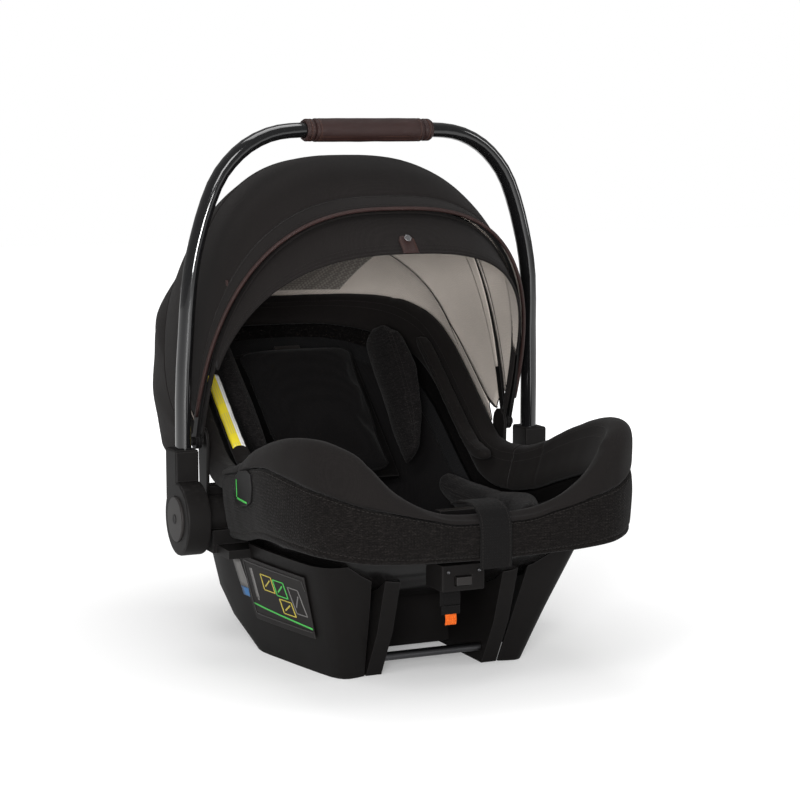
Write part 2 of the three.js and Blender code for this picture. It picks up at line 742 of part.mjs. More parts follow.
// The flip-out visor inside the front bow, with its leather pull tab.
const VISOR = { top: -18.5, edge: -35, r: 263.5, edgeR: 249, half: 181, thick: 1.6 };
const visorArch = archAlphas(26, 262, 96);
const visorPoint = (alpha, t, out) => {
  const c = Math.abs(Math.cos(alpha)) ** 0.8;
  const angle = lerp(VISOR.top, lerp(-24, VISOR.edge, c), t);
  return canopyPoint(alpha, angle, lerp(VISOR.r, VISOR.edgeR, t) + out, VISOR.half + out);
};
function visorPanel() {
  const rows = [0, 0.25, 0.5, 0.75, 1];
  return skin(
    rows.map((t) => visorArch.map((a) => visorPoint(a, t, 0))),
    rows.map((t) => visorArch.map((a) => visorPoint(a, t, -VISOR.thick))),
  );
}
const VISOR_BOW = { angle: -21.5, r: VISOR.r, half: VISOR.half, thick: 1.9 };
add('visor_panel', join(visorPanel(), bow(VISOR_BOW, 9)), 0x505055);

// Pull tab folded over the visor's edge.
function tabSheet(x0, x1, rows) {
  const place = (x, t, out) => {
    const angle = lerp(VISOR.top, VISOR.edge, t);
    const p = canopyPoint(0, angle, lerp(VISOR.r, VISOR.edgeR, t) + out, VISOR.half);
    return V(x, p.y, p.z - (x * x) * 0.0006);
  };
  const cols = [0, 0.33, 0.67, 1].map((f) => lerp(x0, x1, f));
  return skin(
    rows.map((t) => cols.map((x) => place(x, t, 2.4))),
    rows.map((t) => cols.map((x) => place(x, t, 0.5))),
  );
}
add('visor_tab', tabSheet(-9, 9, [0.72, 0.86, 1.0, 1.03]), 0x4a2f2a);

const snapAt = canopyPoint(0, lerp(VISOR.top, VISOR.edge, 0.8), lerp(VISOR.r, VISOR.edgeR, 0.8) + 2.8, VISOR.half);
const snap = new THREE.CylinderGeometry(3.2, 3.8, 1.8, 18);
snap.rotateX(rad(-31)).translate(snapAt.x, snapAt.y - 1, snapAt.z + 1.4);
add('tab_snap', snap, 0xc8c8cc);

// -------------------------------------------------------------- seat interior
// Points in the plane of the backrest: along runs up the back, off stands out of it.
function onBack(x, along, off) {
  const c = Math.cos(RECLINE);
  const s = Math.sin(RECLINE);
  return V(x, BACK_REF.y + along * c - off * s, BACK_REF.z + along * s + off * c);
}

function backBlock(x0, x1, a0, a1, off0, off1) {
  const g = box(x0, x1, a0, a1, off0, off1);
  const turn = new THREE.Matrix4().makeBasis(
    V(1, 0, 0),
    onBack(0, 1, 0).sub(onBack(0, 0, 0)),
    onBack(0, 0, 1).sub(onBack(0, 0, 0)),
  );
  turn.setPosition(onBack(0, 0, 0));
  return g.applyMatrix4(turn);
}

// A pillow: stacked rounded rings along the back.
function pillow(stations, sides = 16) {
  return loft(stations.map(({ along, x, off, rx, ro, lean = 0 }) => (
    Array.from({ length: sides }, (_, i) => {
      const a = (i / sides) * 2 * Math.PI;
      const cx = Math.sign(Math.cos(a)) * Math.abs(Math.cos(a)) ** 0.7;
      const co = Math.sign(Math.sin(a)) * Math.abs(Math.sin(a)) ** 0.7;
      return onBack(x + rx * cx + lean * co, along, off + ro * co);
    })
  )));
}

add('head_board', backBlock(-78, 78, -92, 96, 25, 30), 0x1e1e21);
add('head_pad', pillow([
  { along: -96, x: 0, off: 38, rx: 58, ro: 4 },
  { along: -90, x: 0, off: 42, rx: 66, ro: 10.5 },
  { along: 0, x: 0, off: 43, rx: 72, ro: 12 },
  { along: 92, x: 0, off: 42, rx: 74, ro: 10.5 },
  { along: 100, x: 0, off: 38, rx: 66, ro: 4 },
], 20), 0x2f2f34);
const wing = pillow([
  { along: -92, x: 84, off: 52, rx: 4, ro: 8 },
  { along: -84, x: 88, off: 56, rx: 9, ro: 17, lean: 3 },
  { along: -40, x: 96, off: 60, rx: 14, ro: 27, lean: 6 },
  { along: 20, x: 103, off: 66, rx: 16, ro: 33, lean: 8 },
  { along: 70, x: 103, off: 66, rx: 15, ro: 31, lean: 7 },
  { along: 96, x: 99, off: 62, rx: 10, ro: 22, lean: 4 },
  { along: 104, x: 97, off: 58, rx: 4, ro: 10 },
]);
addPair('head_wing', wing, 0x3a3a3f);
add('head_lever', backBlock(-16, 16, 96.5, 112, 25.4, 29.6), 0x6a6a6f);

// Seat cushion and thigh bolsters of the infant insert.
const seatRing = (y, half, z, h) => Array.from({ length: 20 }, (_, i) => {
  const a = (i / 20) * 2 * Math.PI;
  const cx = Math.sign(Math.cos(a)) * Math.abs(Math.cos(a)) ** 0.6;
  const cz = Math.sign(Math.sin(a)) * Math.abs(Math.sin(a)) ** 0.6;
  return V(half * cx, y, z + h * cz);
});
add('insert_seat', loft([
  seatRing(-230, 40, 134, 4),
  seatRing(-221, 58, 132, 10),
  seatRing(-150, 70, 110, 13),
  seatRing(-80, 74, 101, 13),
  seatRing(-30, 74, 103, 13),
  seatRing(8, 66, 118, 10),
  seatRing(16, 50, 124, 4),
]), 0x2d2d31);

const bolsterStations = [
  [-246, 62, 164, 6, 5], [-236, 84, 165, 16, 13], [-180, 106, 158, 21, 22],
  [-110, 112, 146, 22, 24], [-40, 112, 146, 21, 23], [8, 108, 156, 15, 16], [18, 106, 160, 6, 6],
];
const bolster = loft(bolsterStations.map(([y, x, z, rx, rz]) => (
  Array.from({ length: 16 }, (_, i) => {
    const a = (i / 16) * 2 * Math.PI;
    return V(x + rx * Math.cos(a), y, z + rz * Math.sin(a));
  })
)));
addPair('insert_bolster', bolster, 0x3b3b40);

// ------------------------------------------------------ harness and adjuster
// Webbing that runs over the front lip and down to the adjuster.
function webbing(line, half, thick) {
  const outer = [];
  const inner = [];
  for (let i = 0; i < line.length; i += 1) {
    const a = V(0, ...line[Math.max(i - 1, 0)]);
    const b = V(0, ...line[Math.min(i + 1, line.length - 1)]);
    const d = b.sub(a).normalize();
    const n = V(0, d.z, -d.y);
    const p = V(0, ...line[i]);
    outer.push([-half, half].map((x) => V(x, p.y + n.y * thick, p.z + n.z * thick)));
    inner.push([-half, half].map((x) => V(x, p.y, p.z)));
  }
  return skin(outer, inner);
}
add('front_strap', webbing([
  [-258, 185.5], [-270, 190], [-285, 192], [-299, 192], [-311, 189], [-319.8, 181.6],
  [-322.8, 171], [-323.3, 155], [-323.3, 140], [-322, 133],
], 17, 1.6), 0x1f1f22);
const adjusterBody = cut(
  box(-46, 0, -300, -262, 108, 134),
  shellCut,
  box(-32, -14, -302, -288.6, 113, 123),
);
add('adjuster_housing', adjusterBody, 0x3f3f43);
add('adjuster_button', box(-31, -15, -302.4, -293.6, 114, 122), 0x606065);
add('adjuster_tail', box(-44, -22, -292, -289.6, 93, 107.4), 0x1f1f22);
add('pull_tag', box(-43, -23, -293.4, -288.2, 74, 92.4), 0xff6a1a);

// Crotch strap and buckle, lying low between the front lip and the seat cushion.
add('crotch_strap', box(-13, 13, -240, -237.6, 134.5, 141), 0x1f1f22);
const buckleBody = cut(
  box(-22, 22, -245, -233, 141.5, 177),
  box(-9, 9, -248, -239, 152, 168),
);
add('buckle', buckleBody, 0x2a2a2d);
add('buckle_button', box(-8.4, 8.4, -246.6, -242, 152.6, 167.4), 0xb02a20);

// Pull lever behind the backrest that frees the carrier from its base.
const leverGrip = join(
  backBlock(-38, 38, 22, 44, -24, -18),
  backBlock(-34, -26, 28, 38, -19, 6),
  backBlock(26, 34, 28, 38, -19, 6),
);
add('release_lever', cut(leverGrip, shellCut), 0x4a4a4e);

// Padded side wings on the bucket's rim, inside the canopy, level with the crest.
const wingCrest = spline([[-60, 190], [-30, 193], [0, 198], [45, 231], [90, 268], [130, 299], [160, 315]]);
const SIDE_PAD = { x: 136.5, half: 11.5, high: 9 };
const PAD_ROWS = [-16, 0, 14, 34, 54, 76, 98, 112, 126].map((y) => [y, 1]);
const sidePad = loft([[-38, 0.35], [-32, 0.8], ...PAD_ROWS, [140, 0.8], [146, 0.35]].map(
  ([y, fill]) => Array.from({ length: 16 }, (_, i) => {
    const a = (i / 16) * 2 * Math.PI;
    const cx = Math.sign(Math.cos(a)) * Math.abs(Math.cos(a)) ** 0.5;
    const cz = Math.sign(Math.sin(a)) * Math.abs(Math.sin(a)) ** 0.5;
    return V(SIDE_PAD.x + SIDE_PAD.half * fill * cx, y, wingCrest(y) + SIDE_PAD.high * fill * cz);
  }),
));
addPair('side_pad', sidePad, 0x3c3c40);

// Care label on the left side wing, blank.
const labelSheet = () => {
  const row = (lift) => [14, 34, 54, 76, 98].map((y) => (
    [-146, -140, -134, -128].map((x) => V(x, y, wingCrest(y) + SIDE_PAD.high + lift - ((x + 137) / 9) ** 2 * 0.3))
  ));
  return skin(row(1.6), row(0.8));
};
add('care_label', labelSheet(), 0xf2e04a);

export default root;
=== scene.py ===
# %% [markdown]
# # An infant car seat
# The seat is a moulded bucket on a base with two skirts, a bent carry handle that turns on two
# hubs, a folding canopy on two bows, and soft covers and pads over all of it. The hard structure
# comes in as a fixed frame: its pieces already have their size and place, so here they only get
# a finish. Every soft piece is rebuilt over its plain stand-in.

# %% The frame
import bisect
from math import acos, atan2, copysign, cos, degrees, exp, hypot, pi, radians, sin
import bpy
import bmesh
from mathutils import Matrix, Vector, noise
from mathutils.bvhtree import BVHTree


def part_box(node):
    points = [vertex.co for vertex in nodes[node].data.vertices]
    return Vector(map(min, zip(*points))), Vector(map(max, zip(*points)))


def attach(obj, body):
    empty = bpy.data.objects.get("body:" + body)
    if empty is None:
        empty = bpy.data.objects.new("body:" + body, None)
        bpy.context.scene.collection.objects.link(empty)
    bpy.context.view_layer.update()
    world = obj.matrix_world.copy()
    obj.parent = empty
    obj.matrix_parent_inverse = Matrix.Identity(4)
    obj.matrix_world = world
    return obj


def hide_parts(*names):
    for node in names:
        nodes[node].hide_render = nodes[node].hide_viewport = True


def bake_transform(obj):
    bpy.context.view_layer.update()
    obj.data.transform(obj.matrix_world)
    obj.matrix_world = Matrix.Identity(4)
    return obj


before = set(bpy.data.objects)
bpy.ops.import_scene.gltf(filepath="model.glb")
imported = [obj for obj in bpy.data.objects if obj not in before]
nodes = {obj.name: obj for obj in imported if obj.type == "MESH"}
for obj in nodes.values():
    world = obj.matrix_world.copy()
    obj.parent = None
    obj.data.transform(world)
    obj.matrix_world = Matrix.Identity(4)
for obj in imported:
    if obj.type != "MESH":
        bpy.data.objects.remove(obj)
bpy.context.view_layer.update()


# %% [markdown]
# ## Placing shader nodes
# A material is a graph. Written out link by link it is long and hard to read, so one helper adds
# a node, sets its options and feeds its inputs, and another opens an empty group with named
# sockets. A group holds an effect that several materials share.

# %% Helpers for shader graphs
def put(tree, kind, feeds=(), **options):
    made = tree.nodes.new(kind)
    for key, value in options.items():
        setattr(made, key, value)
    for slot, value in dict(feeds).items():
        if isinstance(value, bpy.types.NodeSocket):
            tree.links.new(value, made.inputs[slot])
        else:
            made.inputs[slot].default_value = value
    return made


def calc(tree, operation, a, b=0.0, c=0.0):
    return put(tree, "ShaderNodeMath", {0: a, 1: b, 2: c}, operation=operation).outputs[0]


def cloudy_at(tree, place, scale, detail):
    return put(tree, "ShaderNodeTexNoise", {"Vector": place, "Scale": scale, "Detail": detail}).outputs[0]


def between(tree, value, low, high):
    """0 at `low` and 1 at `high`, held flat beyond them."""
    return put(tree, "ShaderNodeMapRange", {"Value": value, "From Min": low, "From Max": high}).outputs[0]


def open_group(name, inputs, outputs):
    tree = bpy.data.node_groups.new(name, "ShaderNodeTree")
    for label, kind, value in inputs:
        socket = tree.interface.new_socket(label, in_out="INPUT", socket_type=kind)
        if value is not None:
            socket.default_value = value
    for label, kind in outputs:
        tree.interface.new_socket(label, in_out="OUTPUT", socket_type=kind)
    return tree, tree.nodes.new("NodeGroupInput").outputs, tree.nodes.new("NodeGroupOutput").inputs


def use(tree, group, **values):
    made = tree.nodes.new("ShaderNodeGroup")
    made.node_tree = group
    for label, value in values.items():
        label = label.replace("_", " ")
        if isinstance(value, bpy.types.NodeSocket):
            tree.links.new(value, made.inputs[label])
        else:
            made.inputs[label].default_value = value
    return made.outputs


VECTOR, VALUE = "NodeSocketVector", "NodeSocketFloat"
print("shader helpers ready")


# %% [markdown]
# ## Woven threads
# A close-woven cloth is a fine checker of warp over weft. Three sine waves along the three axes,
# multiplied in pairs, give such a checker on a surface facing any way, so the weave needs no
# unwrapping. A little noise pulls the threads out of line, as in real yarn. The height feeds a
# Bump, and the shade darkens the gaps between the threads.

# %% Weave group
weave, given, out = open_group(
    "close weave",
    [("Place", VECTOR, None), ("Threads", VALUE, 900.0)],
    [("Height", VALUE), ("Shade", VALUE)],
)
uneven = put(weave, "ShaderNodeTexNoise", {"Vector": given["Place"], "Scale": 420.0, "Detail": 2.0})
pulled = put(
    weave, "ShaderNodeVectorMath", {0: uneven.outputs["Color"], "Scale": 0.0016}, operation="SCALE"
)
yarns = put(weave, "ShaderNodeVectorMath", {0: given["Place"], 1: pulled.outputs[0]}, operation="ADD")
scaled = put(
    weave, "ShaderNodeVectorMath", {0: yarns.outputs[0], "Scale": given["Threads"]}, operation="SCALE"
)
split = put(weave, "ShaderNodeSeparateXYZ", {0: scaled.outputs[0]}).outputs
wave = [calc(weave, "SINE", calc(weave, "MULTIPLY", s, pi)) for s in split]
pairs = [calc(weave, "MULTIPLY", wave[i], wave[(i + 1) % 3]) for i in range(3)]
total = calc(weave, "ADD", calc(weave, "ADD", pairs[0], pairs[1]), pairs[2])
height = calc(weave, "MULTIPLY_ADD", total, 0.5, 0.5)
weave.links.new(height, out["Height"])
weave.links.new(calc(weave, "MULTIPLY_ADD", height, 0.3, 0.8), out["Shade"])
print("weave group:", len(weave.nodes), "nodes")


# %% [markdown]
# ## Heather yarn
# The side cover, the wings and the bolsters are a melange: light fibres spun into dark yarn, seen
# as short streaks along the weft with a few across. Noise stretched along one way makes streaks,
# so two stretched noises are laid over each other and only their peaks are kept.

# %% Heather group
heather, given, out = open_group(
    "heather yarn",
    [("Place", VECTOR, None), ("Streaks", VALUE, 1.0)],
    [("Flecks", VALUE), ("Height", VALUE)],
)


def streaks(stretch, low, high):
    mapped = put(heather, "ShaderNodeVectorMath", {0: given["Place"], 1: stretch}, operation="MULTIPLY")
    grown = put(
        heather, "ShaderNodeVectorMath", {0: mapped.outputs[0], "Scale": given["Streaks"]},
        operation="SCALE"
    )
    field = put(
        heather, "ShaderNodeTexNoise",
        {"Vector": grown.outputs[0], "Scale": 1.0, "Detail": 2.0, "Roughness": 0.6}
    )
    keep = put(
        heather, "ShaderNodeMapRange", {"Value": field.outputs[0], "From Min": low, "From Max": high}
    )
    return keep.outputs[0]


weft = streaks((170.0, 170.0, 1300.0), 0.5, 0.68)
warp = streaks((900.0, 900.0, 260.0), 0.56, 0.72)
both = calc(heather, "MAXIMUM", weft, calc(heather, "MULTIPLY", warp, 0.6))
heather.links.new(both, out["Flecks"])
heather.links.new(
    calc(heather, "MULTIPLY_ADD", weft, 0.5, calc(heather, "MULTIPLY", warp, 0.3)), out["Height"]
)
print("heather group:", len(heather.nodes), "nodes")


# %% [markdown]
# ## Hide grain
# Leather and its coated imitation break into small cells with creases between them. The distance
# to the edge of a Voronoi cell is that crease, and a slow noise varies the dye between cells.

# %% Leather group
hide, given, out = open_group(
    "hide grain",
    [("Place", VECTOR, None), ("Cells", VALUE, 900.0)],
    [("Height", VALUE), ("Shade", VALUE)],
)
warped = put(hide, "ShaderNodeTexNoise", {"Vector": given["Place"], "Scale": 400.0, "Detail": 1.0})
moved = put(hide, "ShaderNodeVectorMath", {0: warped.outputs["Color"], "Scale": 0.0012}, operation="SCALE")
shifted = put(hide, "ShaderNodeVectorMath", {0: given["Place"], 1: moved.outputs[0]}, operation="ADD")
cells = put(
    hide, "ShaderNodeTexVoronoi", {"Vector": shifted.outputs[0], "Scale": given["Cells"]},
    feature="DISTANCE_TO_EDGE"
)
crease = between(hide, cells.outputs[0], 0.0, 0.22)
dye = cloudy_at(hide, given["Place"], 90.0, 3.0)
hide.links.new(crease, out["Height"])
hide.links.new(
    calc(
        hide, "MULTIPLY", calc(hide, "MULTIPLY_ADD", crease, 0.35, 0.7),
        calc(hide, "MULTIPLY_ADD", dye, 0.6, 0.7)
    ),
    out["Shade"]
)
print("hide group:", len(hide.nodes), "nodes")


# %% [markdown]
# ## Moulded grain, scuffed and highlighted edges, and dust
# Injection-moulded plastic copies the spark-eroded grain of its tool: a very fine, even roughness.
# Handling polishes its edges paler, and that pale edge is also a painted highlight: where a
# rounded normal leaves the true one, there is an edge.
# A little dust settles on what faces up. Each is a small group with one mask, so that every
# plastic can ask for its own amount.

# %% Plastic groups
grain, given, out = open_group(
    "moulded grain",
    [("Place", VECTOR, None), ("Grain", VALUE, 1600.0)],
    [("Height", VALUE), ("Gloss", VALUE), ("Tone", VALUE)],
)
fine = cloudy_at(grain, given["Place"], given["Grain"], 2.0)
slow = cloudy_at(grain, given["Place"], 22.0, 4.0)
grain.links.new(fine, out["Height"])
grain.links.new(
    calc(grain, "MULTIPLY_ADD", slow, 0.16, calc(grain, "MULTIPLY_ADD", fine, 0.08, -0.12)), out["Gloss"]
)
grain.links.new(
    calc(grain, "MULTIPLY_ADD", slow, 0.5, calc(grain, "MULTIPLY_ADD", fine, 0.3, 0.6)), out["Tone"]
)

# Paler edges: partly polish from handling, partly a painted edge highlight.
scuff_and_highlight, given, out = open_group("worn edge", [("Amount", VALUE, 0.5)], [("Mask", VALUE)])
rounded = put(scuff_and_highlight, "ShaderNodeBevel", {"Radius": 0.0012}, samples=2).outputs[0]
straight = put(scuff_and_highlight, "ShaderNodeNewGeometry").outputs["Normal"]
same = put(
    scuff_and_highlight, "ShaderNodeVectorMath", {0: rounded, 1: straight}, operation="DOT_PRODUCT"
).outputs["Value"]
scuff_highlight_mask = between(scuff_and_highlight, same, 0.985, 0.86)
scuff_and_highlight.links.new(calc(scuff_and_highlight, "MULTIPLY", scuff_highlight_mask, given["Amount"]), out["Mask"])

dust, given, out = open_group(
    "settled dust", [("Place", VECTOR, None), ("Amount", VALUE, 0.3)], [("Mask", VALUE)]
)
facing = put(
    dust, "ShaderNodeSeparateXYZ", {0: put(dust, "ShaderNodeNewGeometry").outputs["Normal"]}
).outputs[2]
up = between(dust, facing, 0.35, 1.0)
specks = cloudy_at(dust, given["Place"], 260.0, 4.0)
patch = between(dust, specks, 0.5, 0.75)
dust.links.new(calc(dust, "MULTIPLY", calc(dust, "MULTIPLY", up, patch), given["Amount"]), out["Mask"])
print("plastic groups ready")


# %% [markdown]
# ## The finishes
# Each material is one Principled shader fed by those groups. Cloth is rough with a little sheen,
# plastic is matte or glossy with a fine bump, leather has creases, and metal is smooth with faint
# streaks. A maker function per family keeps the numbers of the different finishes side by side.

# %% Material makers
def start_material(name):
    made = bpy.data.materials.new(name)
    made.use_nodes = True
    tree = made.node_tree
    shader = tree.nodes["Principled BSDF"]
    place = put(tree, "ShaderNodeTexCoord").outputs["Object"]
    return made, tree, shader, place


def blend_colour(tree, factor, a, b, mode="MIX"):
    mix = put(tree, "ShaderNodeMix", data_type="RGBA", blend_type=mode)
    for slot, value in ((0, factor), (6, a), (7, b)):
        if isinstance(value, bpy.types.NodeSocket):
            tree.links.new(value, mix.inputs[slot])
        else:
            mix.inputs[slot].default_value = value if slot == 0 else (*value, 1.0)
    return mix.outputs[2]


def shaded(tree, colour, shade):
    grey = put(tree, "ShaderNodeCombineXYZ", {0: shade, 1: shade, 2: shade}).outputs[0]
    return blend_colour(tree, 1.0, colour, grey, "MULTIPLY")


def bump(tree, shader, height, strength, depth):
    made = put(tree, "ShaderNodeBump", {"Height": height, "Strength": strength, "Distance": depth})
    tree.links.new(made.outputs[0], shader.inputs["Normal"])


def cloth(
    name, colour, fleck=None, threads=900.0, depth=0.0003, sheen=0.25, rough=0.9, streak=1.0, flecks=1.0
):
    made, tree, shader, place = start_material(name)
    woven = use(tree, weave, Place=place, Threads=threads)
    drift = cloudy_at(tree, place, 14.0, 3.0)
    shade = calc(tree, "MULTIPLY", woven["Shade"], calc(tree, "MULTIPLY_ADD", drift, 0.35, 0.82))
    body, height = colour, woven["Height"]
    if fleck:
        yarn = use(tree, heather, Place=place, Streaks=streak)
        body = blend_colour(tree, calc(tree, "MULTIPLY", yarn["Flecks"], flecks), colour, fleck)
        height = calc(tree, "MULTIPLY_ADD", yarn["Height"], 0.8, height)
    tree.links.new(shaded(tree, body, shade), shader.inputs["Base Color"])
    tree.links.new(calc(tree, "MULTIPLY_ADD", drift, 0.1, rough - 0.05), shader.inputs["Roughness"])
    shader.inputs["Sheen Weight"].default_value = sheen
    shader.inputs["Sheen Roughness"].default_value = 0.45
    shader.inputs["Specular IOR Level"].default_value = 0.05
    bump(tree, shader, height, 0.6, depth)
    return made


print("cloth maker ready")


# %% [markdown]
# ## Plastic, leather and metal
# The hard finishes differ in what breaks up their light. Plastic has its moulded grain, pale
# edges and dust, leather has creases and a varied dye, and metal has faint drawn streaks.

# %% Makers of hard finishes
def plastic(
    name, colour, rough=0.5, grain_scale=1600.0, depth=0.00006, coat=0.0, scuff_highlight=0.35, dusty=0.15,
    pale=(0.10, 0.095, 0.095), shine=0.1
):
    made, tree, shader, place = start_material(name)
    tool = use(tree, grain, Place=place, Grain=grain_scale)
    edge_scuff_highlight = use(tree, scuff_and_highlight, Amount=scuff_highlight)["Mask"]
    settled = use(tree, dust, Place=place, Amount=dusty)["Mask"]
    body = shaded(tree, colour, tool["Tone"])
    # Edges go paler here: partly polish from handling, partly a painted edge highlight.
    body = blend_colour(tree, edge_scuff_highlight, body, pale)
    body = blend_colour(tree, settled, body, (0.2, 0.19, 0.18))
    tree.links.new(body, shader.inputs["Base Color"])
    gloss = calc(tree, "ADD", tool["Gloss"], calc(tree, "MULTIPLY_ADD", edge_scuff_highlight, -0.12, rough))
    tree.links.new(calc(tree, "MAXIMUM", gloss, 0.04), shader.inputs["Roughness"])
    shader.inputs["Specular IOR Level"].default_value = shine
    shader.inputs["Coat Weight"].default_value = coat
    shader.inputs["Coat Roughness"].default_value = 0.08
    bump(tree, shader, tool["Height"], 0.5, depth)
    return made


def leather(name, colour):
    made, tree, shader, place = start_material(name)
    skin_of = use(tree, hide, Place=place, Cells=900.0)
    handled = cloudy_at(tree, place, 38.0, 3.0)
    body = blend_colour(
        tree, handled, shaded(tree, colour, skin_of["Shade"]), tuple(1.8 * c for c in colour)
    )
    tree.links.new(body, shader.inputs["Base Color"])
    tree.links.new(
        calc(tree, "MULTIPLY_ADD", skin_of["Shade"], -0.15, 0.42 + 0.14), shader.inputs["Roughness"]
    )
    shader.inputs["Specular IOR Level"].default_value = 0.3
    bump(tree, shader, skin_of["Height"], 0.55, 0.00035)
    return made


def metal(name, colour, rough, metallic=1.0, streak=(40.0, 40.0, 900.0), coat=0.0):
    made, tree, shader, place = start_material(name)
    drawn = put(tree, "ShaderNodeVectorMath", {0: place, 1: streak}, operation="MULTIPLY").outputs[0]
    lines = cloudy_at(tree, drawn, 1.0, 3.0)
    smears = cloudy_at(tree, place, 30.0, 4.0)
    tree.links.new(
        shaded(tree, colour, calc(tree, "MULTIPLY_ADD", lines, 0.3, 0.85)), shader.inputs["Base Color"]
    )
    tree.links.new(calc(tree, "MULTIPLY_ADD", smears, 0.12, rough), shader.inputs["Roughness"])
    shader.inputs["Metallic"].default_value = metallic
    shader.inputs["Coat Weight"].default_value = coat
    shader.inputs["Coat Roughness"].default_value = 0.05
    bump(tree, shader, lines, 0.15, 0.00003)
    return made


print("makers: cloth, plastic, leather, metal")


# %% [markdown]
# ## The palette
# Charcoal on charcoal: what tells the pieces apart is the finish. The canopy is a smooth, slightly
# warm black, its lining is taupe, the side cover is heathered, the bucket is glossy and the base
# matte. Brown leather, green guide marks and one orange tag are the only colours.

# %% Palette
canopy_cloth = cloth(
    "canopy cloth", (0.01368, 0.01188, 0.01152), threads=1500.0, depth=0.0001, sheen=0.03, rough=0.88
)
lining_cloth = cloth("taupe lining", (0.66, 0.595, 0.535), threads=1300.0, depth=0.00012, sheen=0.05)
cover_cloth = cloth(
    "heathered cover", (0.00525, 0.0046, 0.0044), (0.019, 0.0165, 0.0155), 620.0, 0.00035, 0.04, 0.94,
    streak=1.25, flecks=0.75
)
pad_cloth = cloth(
    "heathered pad", (0.0084, 0.00784, 0.008), (0.030, 0.027, 0.027), 640.0, 0.0003, 0.05, 0.94,
    streak=1.25, flecks=0.8
)
rim_cloth = cloth(
    "smooth rim knit", (0.01089, 0.00957, 0.00924), threads=1700.0, depth=0.00008, sheen=0.04, rough=0.84
)
seat_cloth = cloth("seat knit", (0.00863, 0.0081, 0.0084), threads=1000.0, depth=0.00018, sheen=0.05)
webbing_cloth = cloth(
    "webbing", (0.0068, 0.0064, 0.0064), threads=760.0, depth=0.0004, sheen=0.03, rough=0.72
)
orange_cloth = cloth(
    "orange tag cloth", (0.62, 0.10, 0.012), (0.8, 0.26, 0.06), 800.0, 0.0003, 0.05, flecks=0.3
)
thread_cloth = cloth(
    "sewing thread", (0.0234, 0.0207, 0.01935), threads=2400.0, depth=0.0001, sheen=0.05, rough=0.7
)
tan_thread = cloth("tan thread", (0.10, 0.05, 0.036), threads=2400.0, depth=0.0001, sheen=0.05, rough=0.6)
brown_leather = leather("dark brown leather", (0.0205, 0.0088, 0.0077))
shell_plastic = plastic(
    "glossy shell", (0.00455, 0.0042, 0.0042), 0.2, 900.0, 0.00003, coat=0.12, scuff_highlight=0.1, dusty=0.05
)
base_plastic = plastic("matte base", (0.0068, 0.0060, 0.0058), 0.55, 1500.0, 0.00008, scuff_highlight=0.2, dusty=0.08)
hub_plastic = plastic(
    "hub plastic", (0.0085, 0.0078, 0.0076), 0.46, 1500.0, 0.00006, scuff_highlight=0.25, dusty=0.04, shine=0.1
)
button_plastic = plastic(
    "button plastic", (0.0195, 0.01755, 0.0169), 0.4, 1500.0, 0.00005, scuff_highlight=0.3, dusty=0.05, shine=0.2
)
panel_plastic = plastic("panel plastic", (0.0154, 0.014, 0.01365), 0.5, 1200.0, 0.00008, dusty=0.05)
bow_plastic = plastic("bow plastic", (0.0063, 0.00595, 0.00595), 0.4, 1400.0, 0.00005, dusty=0.03)
red_plastic = plastic("red button", (0.40, 0.018, 0.010), 0.3, 1500.0, 0.00004, pale=(0.6, 0.1, 0.06))
green_plastic = plastic(
    "green guide", (0.03, 0.42, 0.05), 0.4, 1500.0, 0.00004, pale=(0.2, 0.5, 0.2), dusty=0.02
)
yellow_plastic = plastic(
    "yellow guide", (0.42, 0.33, 0.02), 0.4, 1500.0, 0.00004, pale=(0.5, 0.45, 0.2), dusty=0.02
)
print_plastic = plastic("pale print", (0.17, 0.165, 0.16), 0.5, 1500.0, 0.00003, dusty=0.02)
blue_plastic = plastic("blue print", (0.05, 0.16, 0.36), 0.45, 1500.0, 0.00003, dusty=0.02)
handle_gloss = metal("painted handle", (0.006, 0.006, 0.0065), 0.07, 0.0, coat=0.8)
steel_grey = metal("satin dark steel", (0.12, 0.12, 0.125), 0.28, streak=(900.0, 40.0, 40.0))
bright_steel = metal("bright steel", (0.62, 0.62, 0.63), 0.16)
foam_cell = cloth("foam", (0.012, 0.012, 0.0125), threads=700.0, depth=0.0005, sheen=0.0)
print("palette:", len(bpy.data.materials), "materials")


# %% [markdown]
# ## The mesh window and its painted shade
# The back of the canopy has a window of airy mesh with a pale hem under it, seen from inside. Its
# dark colour is partly the mesh and partly painted shade under the hood. It is worked into the
# lining as an area: between two slanting edges, above the hem, and only behind the seat. A coarser
# weave makes the net.

# %% Mesh window, darkened with painted shade
tree = lining_cloth.node_tree
shader = tree.nodes["Principled BSDF"]
plain = shader.inputs["Base Color"].links[0].from_socket
place = put(tree, "ShaderNodeTexCoord").outputs["Object"]
spots = put(tree, "ShaderNodeSeparateXYZ", {0: place}).outputs
half_width = calc(tree, "MULTIPLY_ADD", spots[2], 0.48, -0.077)
within = calc(tree, "SUBTRACT", half_width, calc(tree, "ABSOLUTE", spots[0]))
sides = between(tree, within, -0.0008, 0.0008)
above = between(tree, spots[2], 0.354, 0.3555)
window_with_shade = calc(
    tree, "MULTIPLY", calc(tree, "MULTIPLY", sides, above), calc(tree, "GREATER_THAN", spots[1], 0.15)
)
net = use(tree, weave, Place=place, Threads=430.0)["Height"]
# The net is painted darker than the lining: partly the mesh, partly painted shade under the hood.
netting_with_shade = blend_colour(tree, net, (0.14, 0.127, 0.115), (0.26, 0.238, 0.215))
tree.links.new(blend_colour(tree, window_with_shade, plain, netting_with_shade), shader.inputs["Base Color"])
print("mesh window:", len(tree.nodes), "nodes in the lining")


# %% [markdown]
# ## Finishing the hard pieces of the frame
# The frame's own pieces keep their mesh. A Weld modifier joins their loose triangles, a narrow
# Bevel rounds the edges that light would catch, and weighted normals keep the flats flat.

